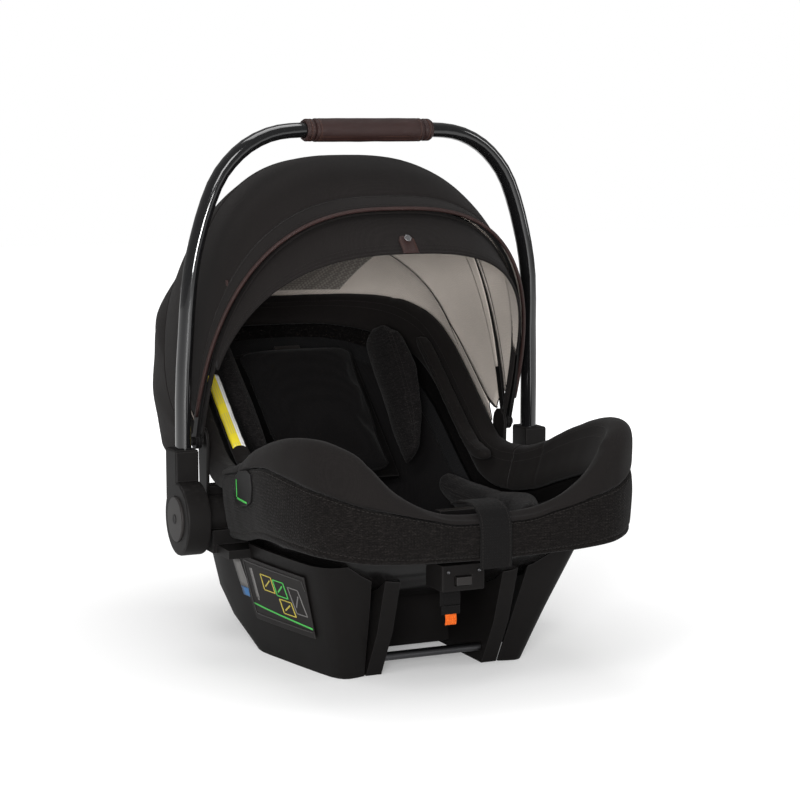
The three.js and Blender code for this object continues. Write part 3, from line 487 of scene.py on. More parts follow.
# %% Finish the frame's pieces
def dress(name, material, edge=0.0006):
    piece = nodes[name]
    piece.data.materials.clear()
    piece.data.materials.append(material)
    for face in piece.data.polygons:
        face.use_smooth = True
    weld = piece.modifiers.new("weld", "WELD")
    weld.merge_threshold = 0.00002
    if edge:
        rounding = piece.modifiers.new("soft edges", "BEVEL")
        rounding.width, rounding.segments, rounding.limit_method = edge, 2, "ANGLE"
        rounding.angle_limit = radians(34)
        rounding.harden_normals = False
    flat = piece.modifiers.new("flat faces", "WEIGHTED_NORMAL")
    flat.weight, flat.keep_sharp = 60, True
    return piece


SIDES = ((1, "right"), (-1, "left"))


def both_sides(name):
    return [name + "_right", name + "_left"]


def fit(piece, body, stands_for=None):
    """The body a piece rides on, and the plain frame piece it stands for, which is hidden."""
    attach(piece, body)
    if stands_for:
        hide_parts(stands_for)


# The cross wall under the belly is partly base structure, partly a dark sheet standing in for the shade
# under the seat.
for name in both_sides("skirt") + both_sides("base_rail") + ["cross_wall"]:
    dress(name, base_plastic, 0.0012)
for name in both_sides("guide_panel"):
    dress(name, panel_plastic, 0.0005)
for name in both_sides("handle_socket") + both_sides("hub_bracket") + both_sides("canopy_mount"):
    dress(name, hub_plastic, 0.0008)
for name in both_sides("hub_button") + ["head_lever", "adjuster_button", "release_lever"]:
    dress(name, button_plastic, 0.0006)
for name in ["canopy_front_bow", "canopy_mid_bow", "head_board", "buckle"] + both_sides("belt_guide"):
    dress(name, bow_plastic, 0.0005)
for name in ["front_cross_tube", "rear_cross_tube"]:
    dress(name, steel_grey, 0.0004)
for name in both_sides("pivot_pin") + ["tab_snap"]:
    dress(name, bright_steel, 0.0004)
dress("seat_shell", shell_plastic, 0.0)
dress("adjuster_housing", base_plastic, 0.0035)
dress("foam_liner", foam_cell, 0.0)
dress("handle_tube", handle_gloss, 0.0)
dress("buckle_button", red_plastic, 0.0006)
print("dressed", sum(1 for n in nodes.values() if n.modifiers), "frame pieces")


# %% [markdown]
# ## The curves that the covers follow
# The rim of the bucket is one closed curve, and each cover is a fixed distance outside or inside
# it. The same curve is drawn here again, in millimetres, so that the covers can be much finer
# than the frame's facets and still lie exactly over them.

# %% Rim, floor, seam and hem lines
CENTRE_Y = -20.0
RIM = [
    (0, -311, 174), (52, -312, 177), (98, -313, 198), (137, -308, 236), (162, -284, 249), (174, -245, 249),
    (179, -200, 240), (179, -150, 224), (176, -105, 206), (172, -55, 194), (168, 0, 198), (168, 45, 231),
    (168, 90, 268), (167, 130, 299), (163, 170, 321), (150, 212, 334), (122, 254, 339), (72, 284, 339),
    (0, 292, 338),
]
FLOOR = [
    (-330, 141), (-300, 132), (-260, 116), (-200, 92), (-140, 74), (-80, 66), (-20, 70), (40, 98),
    (100, 146), (160, 198), (220, 256), (260, 294), (310, 336),
]
HEM = [(0, 140), (18, 143), (32, 150), (45, 150), (54, 145), (64, 135), (90, 124)]
SEAM = [(0, 178), (9, 179), (23, 197), (32, 212), (45, 222), (54, 216), (64, 205), (90, 192)]


def smooth_line(knots):
    xs, ys = [k[0] for k in knots], [k[1] for k in knots]
    last = len(xs) - 1

    def slope(i):
        a, b = max(i - 1, 0), min(i + 1, last)
        return (ys[b] - ys[a]) / (xs[b] - xs[a])

    def at(x):
        if x <= xs[0]:
            return ys[0] + slope(0) * (x - xs[0])
        if x >= xs[last]:
            return ys[last] + slope(last) * (x - xs[last])
        i = 0
        while x > xs[i + 1]:
            i += 1
        h = xs[i + 1] - xs[i]
        t = (x - xs[i]) / h
        rise = (3 - 2 * t) * t * t
        return (1 - rise) * ys[i] + rise * ys[i + 1] + t * (1 - t) * h * (
            (1 - t) * slope(i) - t * slope(i + 1)
        )
    return at


def through(knots, closed, per):
    """A centripetal curve through the knots, with `per` points on each stretch."""
    pts = [Vector(k) for k in knots]
    n = len(pts)
    found = []
    for i in range(n if closed else n - 1):
        p1, p2 = pts[i], pts[(i + 1) % n]
        p0 = pts[i - 1] if closed or i > 0 else 2 * p1 - p2
        p3 = pts[(i + 2) % n] if closed or i + 2 < n else 2 * p2 - p1
        d0, d1, d2 = (max((b - a).length, 1e-6) ** 0.5 for a, b in ((p0, p1), (p1, p2), (p2, p3)))
        t1 = ((p1 - p0) / d0 - (p2 - p0) / (d0 + d1) + (p2 - p1) / d1) * d1
        t2 = ((p2 - p1) / d1 - (p3 - p1) / (d1 + d2) + (p3 - p2) / d2) * d1
        for k in range(per):
            t = k / per
            a, b, c, d = 2 * t**3 - 3 * t**2 + 1, t**3 - 2 * t**2 + t, -2 * t**3 + 3 * t**2, t**3 - t**2
            found.append(p1 * a + t1 * b + p2 * c + t2 * d)
    return found if closed else found + [pts[-1]]


print("curves through", len(RIM), "rim points")


# %% [markdown]
# ## Places on the rim
# Covers ask for a place by its angle round the seat. The rim curve is cut into small steps, each
# with its angle and outward direction, and a place between two steps is blended from them. A
# second function goes from the rim down into the bowl of the seat.

# %% Find a place on the rim
rim_points = through(RIM + [(-x, y, z) for x, y, z in RIM[-2:0:-1]], True, 20)
rim_table = []
for i, p in enumerate(rim_points):
    d = rim_points[(i + 1) % len(rim_points)] - rim_points[i - 1]
    n = Vector((d.y, -d.x, 0)).normalized()
    if n.x * p.x + n.y * (p.y - CENTRE_Y) < 0:
        n = -n
    rim_table.append((atan2(p.x, CENTRE_Y - p.y) % (2 * pi), p, n))
rim_table.sort(key=lambda row: row[0])


def rim_at(deg):
    a = radians(deg) % (2 * pi)
    low = bisect.bisect_right(rim_table, a, key=lambda row: row[0])
    r0, r1 = rim_table[low - 1], rim_table[low % len(rim_table)]
    t = ((a - r0[0]) % (2 * pi)) / max((r1[0] - r0[0]) % (2 * pi), 1e-9)
    return r0[1].lerp(r1[1], t), r0[2].lerp(r1[2], t).normalized()


floor_z, hem_z, seam_z = smooth_line(FLOOR), smooth_line(HEM), smooth_line(SEAM)


def bowl(deg, s, inset, drop, lift=0.0):
    p, n = rim_at(deg)
    x, y = p.x - n.x * inset, p.y - n.y * inset
    py = CENTRE_Y + s * (y - CENTRE_Y)
    depth = p.z + lift - floor_z(y) + drop
    return Vector((s * x, py, floor_z(py) - drop + depth * s**6))


def beside(deg, out, z):
    p, n = rim_at(deg)
    return Vector((p.x + n.x * out, p.y + n.y * out, z))


print(
    "rim length about",
    round(sum((rim_points[i] - rim_points[i - 1]).length for i in range(len(rim_points)))), "mm"
)


# %% [markdown]
# ## Sheets of cloth
# Cloth is modelled as a closed sheet: a fine grid for the outside, the same grid moved in for the
# inside, and a rim that joins them. It could be one plane with a Solidify modifier, but two grids
# let the wadding be thick in one place and pinched in another.

# %% Sheet helpers
def make_object(name, points, faces, material):
    name = name.replace(" ", "_")
    mesh = bpy.data.meshes.new(name)
    mesh.from_pydata([tuple(c * 0.001 for c in p) for p in points], [], faces)
    mesh.validate()
    bm = bmesh.new()
    bm.from_mesh(mesh)
    bmesh.ops.recalc_face_normals(bm, faces=bm.faces)
    if bm.calc_volume(signed=True) < 0:
        bmesh.ops.reverse_faces(bm, faces=bm.faces)
    bm.to_mesh(mesh)
    bm.free()
    for face in mesh.polygons:
        face.use_smooth = True
    mesh.materials.append(material)
    piece = bpy.data.objects.new(name, mesh)
    bpy.context.scene.collection.objects.link(piece)
    return piece


def sheet_between(name, outer, inner, material, wrap=False, inner_material=None):
    rows, cols = len(outer), len(outer[0])
    points = [p for row in outer for p in row] + [p for row in inner for p in row]
    back = rows * cols

    def at(side, i, j):
        return side * back + i * cols + j % cols

    faces, inside = [], []
    for i in range(rows - 1):
        for j in range(cols if wrap else cols - 1):
            faces.append((at(0, i, j), at(0, i, j + 1), at(0, i + 1, j + 1), at(0, i + 1, j)))
            inside.append((at(1, i, j), at(1, i + 1, j), at(1, i + 1, j + 1), at(1, i, j + 1)))
    rim = []
    for j in range(cols if wrap else cols - 1):
        rim.append((at(0, 0, j + 1), at(0, 0, j), at(1, 0, j), at(1, 0, j + 1)))
        rim.append((at(0, rows - 1, j), at(0, rows - 1, j + 1), at(1, rows - 1, j + 1), at(1, rows - 1, j)))
    if not wrap:
        for i in range(rows - 1):
            rim.append((at(0, i, 0), at(0, i + 1, 0), at(1, i + 1, 0), at(1, i, 0)))
            rim.append(
                (at(0, i + 1, cols - 1), at(0, i, cols - 1), at(1, i, cols - 1), at(1, i + 1, cols - 1))
            )
    piece = make_object(name, points, faces + rim + inside, material)
    if inner_material:
        piece.data.materials.append(inner_material)
        for face in piece.data.polygons[len(faces) + len(rim):]:
            face.material_index = 1
    return piece


print("sheet helpers ready")


# %% [markdown]
# ## Cords, piping and stitches
# A bound edge or piping is a thin tube along a line. A stitch is a small bead, longer than wide,
# laid end to end with gaps as a sewing machine does. A row is first cut into equal steps, so that
# stitches keep their length round a bend.

# %% Cord and stitch helpers
def tube_mesh(line, radius, sides=8, closed=False):
    """Points and faces of a tube along a line; its ends are capped when it isn't closed."""
    line = [Vector(p) for p in line]
    n = len(line)
    points, faces = [], []
    across = None
    for i, p in enumerate(line):
        d = (line[(i + 1) % n] - line[i - 1]) if closed else (line[min(i + 1, n - 1)] - line[max(i - 1, 0)])
        d.normalize()
        if across is None:
            across = d.orthogonal().normalized()
        across = (across - d * across.dot(d)).normalized()
        other = d.cross(across)
        for k in range(sides):
            a = 2 * pi * k / sides
            points.append(p + across * radius * cos(a) + other * radius * sin(a))
    for i in range(n if closed else n - 1):
        for k in range(sides):
            j, m = (i + 1) % n, (k + 1) % sides
            faces.append((i * sides + k, i * sides + m, j * sides + m, j * sides + k))
    if not closed:
        faces.append(tuple(range(sides))[::-1])
        faces.append(tuple((n - 1) * sides + k for k in range(sides)))
    return points, faces


def cord_piece(name, lines, radius, material, sides=8, closed=False):
    points, faces = [], []
    for line in lines:
        p, f = tube_mesh(line, radius, sides, closed)
        faces += [tuple(i + len(points) for i in face) for face in f]
        points += p
    return make_object(name, points, faces, material)


def resample(line, step):
    line = [Vector(p) for p in line]
    found, left = [line[0].copy()], step
    for a, b in zip(line, line[1:]):
        gap = (b - a).length
        at = 0.0
        while gap - at >= left:
            at += left
            found.append(a.lerp(b, at / gap))
            left = step
        left -= gap - at
    return found


def stitch_piece(name, lines, material, pitch=4.2, length=3.0, radius=0.34):
    """Machine stitches along lines: each is a six-sided bead, tapered where it dives in."""
    points, faces = [], []
    for line in lines:
        marks = resample(line, pitch)
        for a, b in zip(marks, marks[1:]):
            d = (b - a).normalized()
            side = d.orthogonal().normalized()
            other = d.cross(side)
            base = len(points)
            for t, r in ((0.0, 0.35), (0.25, 1.0), (0.75, 1.0), (1.0, 0.35)):
                for k in range(6):
                    angle = pi * k / 3
                    points.append(
                        a + d * length * t + (side * cos(angle) + other * sin(angle)) * radius * r
                    )
            for s in range(3):
                for k in range(6):
                    m = (k + 1) % 6
                    faces.append(
                        (base + s * 6 + k, base + s * 6 + m, base + s * 6 + 6 + m, base + s * 6 + 6 + k)
                    )
            faces.append(tuple(base + k for k in range(6))[::-1])
            faces.append(tuple(base + 18 + k for k in range(6)))
    return make_object(name, points, faces, material)


def lerp(a, b, t):
    return a + (b - a) * t


def power(value, exponent):
    """A power that keeps the sign, which squares off a circle's sine and cosine."""
    return copysign(abs(value) ** exponent, value)


def steps(a, b, count):
    return [lerp(a, b, i / count) for i in range(count + 1)]


def ease(t, a, b):
    t = min(max((t - a) / (b - a), 0.0), 1.0)
    return t * t * (3 - 2 * t)


print("mesh helpers ready")


# %% [markdown]
# ## The side cover
# A quilted, heathered panel hangs outside the bucket from the seam under its rim to a stitched hem
# below. It is a sheet 4 mm thick with a soft edge: it starts tucked in at the seam, swells where
# the wadding is, and draws in again at the hem, where two rows of stitches hold the turning.

# %% Side cover
COVER_END = 78.0


def cover_line(deg):
    z = rim_at(deg)[0].z
    top = min(seam_z(abs(deg)), z + 2)
    return top, hem_z(abs(deg))


def cover_point(deg, t, inward=0.0):
    top, hem = cover_line(deg)
    side = ease(abs(deg), 22, 60)
    lean = smooth_line(
        [
            (0, 9), (0.25, 9.8 - 0.4 * side), (0.5, 9.8 - 2.2 * side), (0.78, 9.4 - 4.6 * side),
            (1, 8.4 - 7 * side)
        ]
    )
    z = lerp(top, hem, t)
    soft = 0.9 * noise.noise(
        Vector((deg * 0.09, z * 0.02, 3.0))
    ) + 0.5 * noise.noise(Vector((deg * 0.25, z * 0.05, 7.0)))
    crown = 1.0 * sin(pi * min(t / 0.88, 1.0)) ** 0.6 - 1.1 * exp(-((t - 0.885) / 0.022) ** 2)
    edge = 2.4 * (exp(-((t / 0.03) ** 2)) + exp(-(((1 - t) / 0.02) ** 2)))
    return beside(deg, lean(t) + crown + soft * sin(pi * t) - edge - inward, z)


cover_rows = [
    0, 0.012, 0.03, 0.055, 0.1, 0.17, 0.25, 0.34, 0.43, 0.52, 0.61, 0.69, 0.76, 0.82, 0.85, 0.87, 0.885,
    0.9, 0.92, 0.95, 0.975, 0.988, 1.0
]
cover_degs = steps(-COVER_END, COVER_END, 260)
side_cover = sheet_between(
    "side cover",
    [[cover_point(d, t) for t in cover_rows] for d in cover_degs],
    [[cover_point(d, t, 3.2) for t in cover_rows] for d in cover_degs],
    cover_cloth,
)
fit(side_cover, "carrier", "outer_cover")
hem_stitches = stitch_piece(
    "hem stitches",
    [[cover_point(d, t, -0.15) for d in steps(-77.5, 77.5, 420)] for t in (0.885, 0.035)],
    thread_cloth, 4.4, 3.1, 0.36,
)
fit(hem_stitches, "carrier")
print("side cover:", len(side_cover.data.polygons), "faces")


# %% [markdown]
# ## The rim covers
# A smoother knit covers the edge of the bucket: from the seam outside, over the rounded crest and
# down the inner wall. Wadding rounds the crest, and the sheet pinches where it is sewn: at the
# outer seam, along a line inside the crest, and across it where two lengths meet.

# %% Rim covers
CROSS_SEAMS = (-62.0, -24.0, 24.0, 62.0, 112.0, 150.0, 210.0, 248.0)


def pinch(deg):
    return sum(exp(-(((deg - c + 180) % 360 - 180) / 0.55) ** 2) for c in CROSS_SEAMS)


def rim_profile(deg, out, low):
    z = rim_at(deg)[0].z
    shell = [
        beside(deg, out, low),
        beside(deg, out + 0.8, lerp(low, max(low + 2, z - 1), 0.3)),
        beside(deg, out + 0.5, max(low + 3, z - 1)),
        beside(deg, out - 3.2, z + 7.6),
        beside(deg, -1, z + 10.9),
    ] + [bowl(deg, s, 14.2, -9, 6) for s in (1, 0.97, 0.938)]
    lining = [
        beside(deg, 1.5, low),
        beside(deg, 1.5, lerp(low, max(low + 0.8, z - 2), 0.3)),
        beside(deg, 1.5, max(low + 0.8, z - 2)),
        beside(deg, 1.2, z + 1.1),
        beside(deg, -2, z + 1.2),
    ] + [bowl(deg, s, 6.2, -1.2, 1.2) for s in (1, 0.97, 0.938)]
    return through(shell, False, 5), through(lining, False, 5)


def rim_cover(name, start, end, count, edge, node):
    outer, inner = [], []
    for deg in steps(start, end, count):
        out, low = edge(deg)
        skin, back = rim_profile(deg, out, low)
        last = len(skin) - 1
        soft = []
        for k, (p, q) in enumerate(zip(skin, back)):
            away = (p - q)
            deep = away.length
            away.normalize()
            sewn = 1.5 * exp(-((k - 27) / 0.8) ** 2) + 1.0 * pinch(deg)
            ends = 2.6 * (exp(-((k / 1.1) ** 2)) + exp(-(((last - k) / 1.0) ** 2)))
            loose = 0.5 * noise.noise(Vector((deg * 0.2, k * 0.16, 1.0)))
            soft.append(p - away * min(sewn + ends - loose, deep - 1.2))
        outer.append(soft)
        inner.append(back)
    piece = sheet_between(name, outer, inner, rim_cloth)
    fit(piece, "carrier", node)
    return piece, outer


def front_edge(deg):
    return 9.0, cover_line(deg)[0] + 0.9


def rear_edge(deg):
    return 6.4, rim_at(deg)[0].z - 15


front_rim, front_grid = rim_cover(
    "front rim cover", -COVER_END, COVER_END, 240, front_edge, "rim_strip_front"
)
rear_rim, rear_grid = rim_cover("rear rim cover", 78.3, 281.7, 260, rear_edge, "rim_strip_rear")
rim_lines = []
for grid in (front_grid, rear_grid):
    rim_lines += [[row[k] for row in grid] for k in (26, 28)]
rim_stitches = stitch_piece("rim stitches", rim_lines, thread_cloth, 3.8, 2.7, 0.28)
fit(rim_stitches, "carrier")
print("rim covers:", len(front_rim.data.polygons), "and", len(rear_rim.data.polygons), "faces")


# %% [markdown]
# ## The seat cover
# Inside the bucket a thin knit cover lies on the foam. It only shows between the pads, so it is a
# fine sheet with a little slack, laid where the frame's cover is.

# %% Seat cover
cover_levels = steps(0.02, 0.86, 34)
seat_rings = steps(0, 360, 120)[:-1]
seat_cover = sheet_between(
    "knit seat cover",
    [
        [
            bowl(d, s, 14.2 + 2.4, -12.9 + 0.5 * noise.noise(Vector((d * 0.07, s * 9, 2.0))))
            for d in seat_rings
        ]
        for s in cover_levels
    ],
    [[bowl(d, s, 14.2, -10.4) for d in seat_rings] for s in cover_levels],
    seat_cloth, wrap=True,
)
fit(seat_cover, "carrier", "seat_cover")
print("seat cover:", len(seat_cover.data.polygons), "faces")


# %% [markdown]
# ## Pads, blown up like real cushions
# A cushion is a flat bag that stuffing pushes out until the cloth is tight. That is what cloth
# simulation with inner pressure does: each plain pad is copied, shrunk a little, remeshed into
# small even cells, and inflated for twenty frames without gravity. A cap on how far any point may
# move keeps it inside the room that the seat leaves for it.

# %% Inflate the pads
CELL, PRESSURE, FRAMES = 0.0042, 4.0, 20  # cell in metres, inner pressure, frames of inflating
PADS = {  # node: (name, finish, slot, body, shrink mm, cap mm)
    "insert_seat": ("seat_cushion", seat_cloth, "seat_fabric", "carrier", 3.0, 5.0),
    "insert_bolster_right": ("right_bolster", pad_cloth, "woven_fabric", "carrier", 3.0, 5.0),
    "insert_bolster_left": ("left_bolster", pad_cloth, "woven_fabric", "carrier", 3.0, 5.0),
    "head_pad": ("padded_headrest", seat_cloth, "seat_fabric", "head_support", 2.5, 4.0),
    "head_wing_right": ("right_wing", pad_cloth, "woven_fabric", "head_support", 3.0, 5.0),
    "head_wing_left": ("left_wing", pad_cloth, "woven_fabric", "head_support", 3.0, 5.0),
    "side_pad_right": ("right_side_wing", rim_cloth, "rim_fabric", "carrier", 1.5, 1.8),
    "side_pad_left": ("left_side_wing", rim_cloth, "rim_fabric", "carrier", 1.5, 1.8),
}


def only(piece):
    bpy.ops.object.select_all(action="DESELECT")
    piece.select_set(True)
    bpy.context.view_layer.objects.active = piece


def pad_from(node, name, material, shrink):
    mesh = nodes[node].data.copy()
    mesh.name = name
    bm = bmesh.new()
    bm.from_mesh(mesh)
    bmesh.ops.remove_doubles(bm, verts=bm.verts, dist=0.00001)
    bm.normal_update()
    for v in bm.verts:
        v.co -= v.normal * shrink * 0.001
    bm.to_mesh(mesh)
    bm.free()
    mesh.materials.clear()
    mesh.materials.append(material)
    piece = bpy.data.objects.new(name, mesh)
    bpy.context.scene.collection.objects.link(piece)
    only(piece)
    cells = piece.modifiers.new("even cells", "REMESH")
    cells.mode, cells.voxel_size, cells.use_smooth_shade = "VOXEL", CELL, True
    bpy.ops.object.modifier_apply(modifier=cells.name)
    soft = piece.modifiers.new("round off", "SMOOTH")
    soft.factor, soft.iterations = 0.5, 3
    bpy.ops.object.modifier_apply(modifier=soft.name)
    return piece


print(len(PADS), "pads planned")


# %% [markdown]
# ## Pressure
# All the pads are blown up together, which takes one pass of the simulation. Each point then
# moves no farther than its cap, and the mesh is made one step finer.

# %% Blow up the pads
pads = {node: pad_from(node, v[0], v[1], v[4]) for node, v in PADS.items()}
before = {node: [v.co.copy() for v in pad.data.vertices] for node, pad in pads.items()}
for pad in pads.values():
    cloth_sim = pad.modifiers.new("inflate", "CLOTH")
    cloth_sim.settings.quality = 5
    cloth_sim.settings.use_pressure = True
    cloth_sim.settings.uniform_pressure_force = PRESSURE
    cloth_sim.settings.effector_weights.gravity = 0.0
    cloth_sim.point_cache.frame_end = FRAMES
for f in range(1, FRAMES + 1):
    bpy.context.scene.frame_set(f)
graph = bpy.context.evaluated_depsgraph_get()
for pad in pads.values():
    blown = bpy.data.meshes.new_from_object(pad.evaluated_get(graph))
    places = [v.co.copy() for v in blown.vertices]
    pad.modifiers.clear()
    for v, p in zip(pad.data.vertices, places):
        v.co = p
    bpy.data.meshes.remove(blown)
bpy.context.scene.frame_set(1)
for node, pad in pads.items():
    name, material, slot, body, shrink, cap = PADS[node]
    farthest = 0.0
    for v, p in zip(pad.data.vertices, before[node]):
        move = v.co - p
        farthest = max(farthest, move.length)
        if move.length > cap * 0.001:
            v.co = p + move.normalized() * cap * 0.001
    only(pad)
    fine = pad.modifiers.new("finer", "SUBSURF")
    fine.levels = fine.render_levels = 1
    bpy.ops.object.modifier_apply(modifier=fine.name)
    for face in pad.data.polygons:
        face.use_smooth = True
    print(name, "moved up to", round(farthest * 1000, 1), "mm,", len(pad.data.polygons), "faces")


# %% [markdown]
# ## Seams on the pads
# Seams come after the inflating. A seam is planned as a line near the pad, and each of its points
# is then moved to the nearest place on the swollen surface, so it lies in the cloth. The head pad
# has corded piping round its edge, and the wings and bolsters have a double row of stitches.

# %% Snap lines to a surface
def surface_of(piece):
    return BVHTree.FromPolygons(
        [v.co for v in piece.data.vertices], [tuple(f.vertices) for f in piece.data.polygons]
    )


def snap(line, tree, lift=0.1):
    found = []
    for p in line:
        near, normal, _, _ = tree.find_nearest(Vector(p) * 0.001)
        found.append((near + normal * lift * 0.001) * 1000)
    return found


RECLINE = radians(42.5)


def on_back(x, along, off):
    c, s = cos(RECLINE), sin(RECLINE)
    return Vector((x, 160 + along * c - off * s, 198 + along * s + off * c))


def ride_pad(node, seams):
    name, material, slot, body, shrink, cap = PADS[node]
    fit(pads[node], body, node)
    for piece in seams:
        fit(piece, body)


print("lines can be laid on a pad")


# %% [markdown]
# ## Piping and stitches of each pad
# Piping follows the edge of the headrest, the side wings and the seat cushion. The head wings
# and the bolsters have rows of stitches instead.

# %% Seams on the pads
head_tree = surface_of(pads["head_pad"])
loop = []
for i in range(160):
    a = 2 * pi * i / 160
    cx, ca = cos(a), sin(a)
    loop.append(on_back(73 * power(cx, 0.4), 2 + 100 * power(ca, 0.4), 43))
head_piping = cord_piece("head pad piping", [snap(loop, head_tree, 0.4)], 1.5, seat_cloth, 8, True)
ride_pad("head_pad", [head_piping])

for side, word in SIDES:
    wing_tree = surface_of(pads["head_wing_" + word])
    rows = [
        snap([on_back(side * (x + 0.1 * a), a, off) for a in steps(-84, 94, 90)], wing_tree, 0.1)
        for x, off in ((86, 96), (92, 100), (82, 62), (80, 56))
    ]
    wing_seams = stitch_piece(word + " wing stitches", rows, thread_cloth, 3.8, 2.7, 0.3)
    ride_pad("head_wing_" + word, [wing_seams])
    bolster_tree = surface_of(pads["insert_bolster_" + word])
    rows = [
        snap([(side * x, y, z) for y in steps(-238, 8, 110)], bolster_tree, 0.1)
        for x, z in ((92, 190), (98, 192), (84, 160), (84, 154))
    ]
    bolster_seams = stitch_piece(word + " bolster stitches", rows, thread_cloth, 3.8, 2.7, 0.3)
    ride_pad("insert_bolster_" + word, [bolster_seams])

for side, word in SIDES:
    side_tree = surface_of(pads["side_pad_" + word])
    crest = smooth_line([(-60, 190), (-30, 193), (0, 198), (45, 231), (90, 268), (130, 299), (160, 315)])
    seam = [(side * 126.5, y, crest(y) + 9) for y in steps(-30, 138, 90)]
    side_piping = cord_piece(word + " side wing piping", [snap(seam, side_tree, 0.2)], 1.1, rim_cloth, 8)
    ride_pad("side_pad_" + word, [side_piping])

cushion_tree = surface_of(pads["insert_seat"])
cushion_line = [(x * 58, lerp(-224, 8, (y + 1) / 2), 140) for x, y in
                [(power(cos(a), 0.5), power(sin(a), 0.5))
                 for a in (2 * pi * i / 120 for i in range(120))]]
cushion_piping = cord_piece(
    "seat cushion piping", [snap(cushion_line, cushion_tree, 0.3)], 1.5, pad_cloth, 8, True
)
ride_pad("insert_seat", [cushion_piping])
print("pads seamed")


# %% [markdown]
# ## The canopy
# The hood is cloth stretched over two bows that turn on one pivot at each side. In a plane through
# the pivot the cloth follows a rounded arch, so a panel is that arch repeated from one angle to
# the next, as one continuous curved sheet. Its outside is black cloth and its inside a taupe
# lining. Between the bows the cloth sags a little, and it puckers where it is sewn.

# %% Canopy arches
PIVOT_Y, PIVOT_Z = 15.0, 222.0  # the pivot that both bows turn on, in mm
PANEL_HALF, CLOTH_THICK = 190.6, 1.7  # half the width of the hood, and its cloth with the lining


def arch_point(alpha, angle, r, half, along=0.0):
    e = 2 / 2.7
    reach = r * abs(cos(alpha)) ** e
    x = half * power(sin(alpha), e)
    a = radians(angle)
    return Vector((x, PIVOT_Y + reach * sin(a) + along * cos(a), PIVOT_Z + reach * cos(a) - along * sin(a)))


def arch_alphas(count, r, shortest):
    end = acos((shortest / r) ** 1.35)
    return [end * power(t, 0.9) for t in steps(-1, 1, count)]


ARCH = arch_alphas(120, 300, 34)
print("arch of", len(ARCH), "points")


# %% [markdown]
# ## Canopy panels
# Five panels make the hood: the band on the front bow, two panels that fold with the bows on the
# real hood, the fixed back, and the visor. Here those two panels are cut in place and are attached
# to no body.

# %% Canopy panels
def panel_sheet(name, rows, at, pucker=0.5):
    outer, inner = [], []
    for t in steps(0, 1, rows):
        angle, r, half, spread = at(t)
        top, under = [], []
        for alpha in ARCH:
            lean = angle + spread * sin(alpha) ** 16
            p = arch_point(alpha, lean, r, half)
            up = abs(cos(alpha))
            drift = noise.noise(
                Vector((alpha * 5.0, angle * 0.12, 5.0))
            ) * 0.8 + noise.noise(Vector((alpha * 30.0, angle * 0.2, 9.0))) * 0.3
            sewn = exp(-((t / 0.05) ** 2)) + exp(-(((1 - t) / 0.05) ** 2))
            gathers = pucker * sewn * (0.35 + 0.65 * abs(sin(alpha * 46.0 + 1.5 * sin(alpha * 9.0))))
            shift = -(0.9 * (1 - sewn) * (0.5 + 0.5 * drift) + gathers * 0.9) * (0.3 + 0.7 * up)
            top.append(arch_point(alpha, lean, r + shift, half + shift * 0.6))
            under.append(
                arch_point(alpha, lean, r - CLOTH_THICK + shift * 0.4, half - CLOTH_THICK + shift * 0.3)
            )
        outer.append(top)
        inner.append(under)
    piece = sheet_between(name, outer, inner, canopy_cloth, inner_material=lining_cloth)
    return piece, outer


def sheet_size(grid):
    width = sum((b - a).length for a, b in zip(grid[len(grid) // 2], grid[len(grid) // 2][1:]))
    middle = len(grid[0]) // 2
    length = sum((grid[i + 1][middle] - grid[i][middle]).length for i in range(len(grid) - 1))
    area = 0.0
    for i in range(len(grid) - 1):
        for j in range(len(grid[0]) - 1):
            a, b, c, d = grid[i][j], grid[i][j + 1], grid[i + 1][j + 1], grid[i + 1][j]
            area += ((b - a).cross(d - a).length + (b - c).cross(d - c).length) / 2
    return width * 0.001, length * 0.001, area * 1e-6


def cloth_sheet(piece, grid):
    width, length, area = sheet_size(grid)
    length = max(length, area / width)
    print(piece.name, "cut", round(width, 3), "x", round(length, 3), "m, area", round(area, 4), "m2")


print("panel helpers ready")


# %% [markdown]
# ## The band and the two middle panels
# Each panel runs from the angle of one seam to the angle of the next. The rear edge of the middle
# panel leans back towards its ends, where the hood widens over the hubs.

# %% Cut the panels
band, band_grid = panel_sheet(
    "canopy edge band", 8, lambda t: (lerp(-23, -16.2, t), 271, PANEL_HALF, 0), pucker=0.3
)
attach(band, "canopy_front")
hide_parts("canopy_edge_band")
front_panel, front_panel_grid = panel_sheet(
    "canopy front panel", 30,
    lambda t: (lerp(-15.9, 12, t), lerp(271, 304.5, sin(t * pi / 2) ** 0.9), PANEL_HALF, 0),
)
mid_panel, mid_panel_grid = panel_sheet(
    "canopy middle panel", 34, lambda t: (lerp(12.3, 47, t), 304.7, PANEL_HALF, 24 * t * t),
)
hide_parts("canopy_front_panel")
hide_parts("canopy_mid_panel")
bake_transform(front_panel)
tilt = radians(30)
across = Vector((0, cos(tilt), -sin(tilt)))
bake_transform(mid_panel)
print("front panel", len(front_panel.data.polygons), "faces, middle panel", len(mid_panel.data.polygons))


# %% [markdown]
# ## The fixed back of the canopy
# Behind the last bow the cloth is sewn to an elastic under the head end of the rim. It starts on
# the arch, closes in to the rim, and runs down the back of the bucket. Its top edge tucks under
# the panel in front. One smooth curve for each of the arch's points, from top to bottom, gives
# that sheet.

# %% Canopy back
REAR_RINGS = ((184, 36, 326.35, 290, 218), (181, 36, 316, 245, 200), (180, 36, 296, 206, 184))


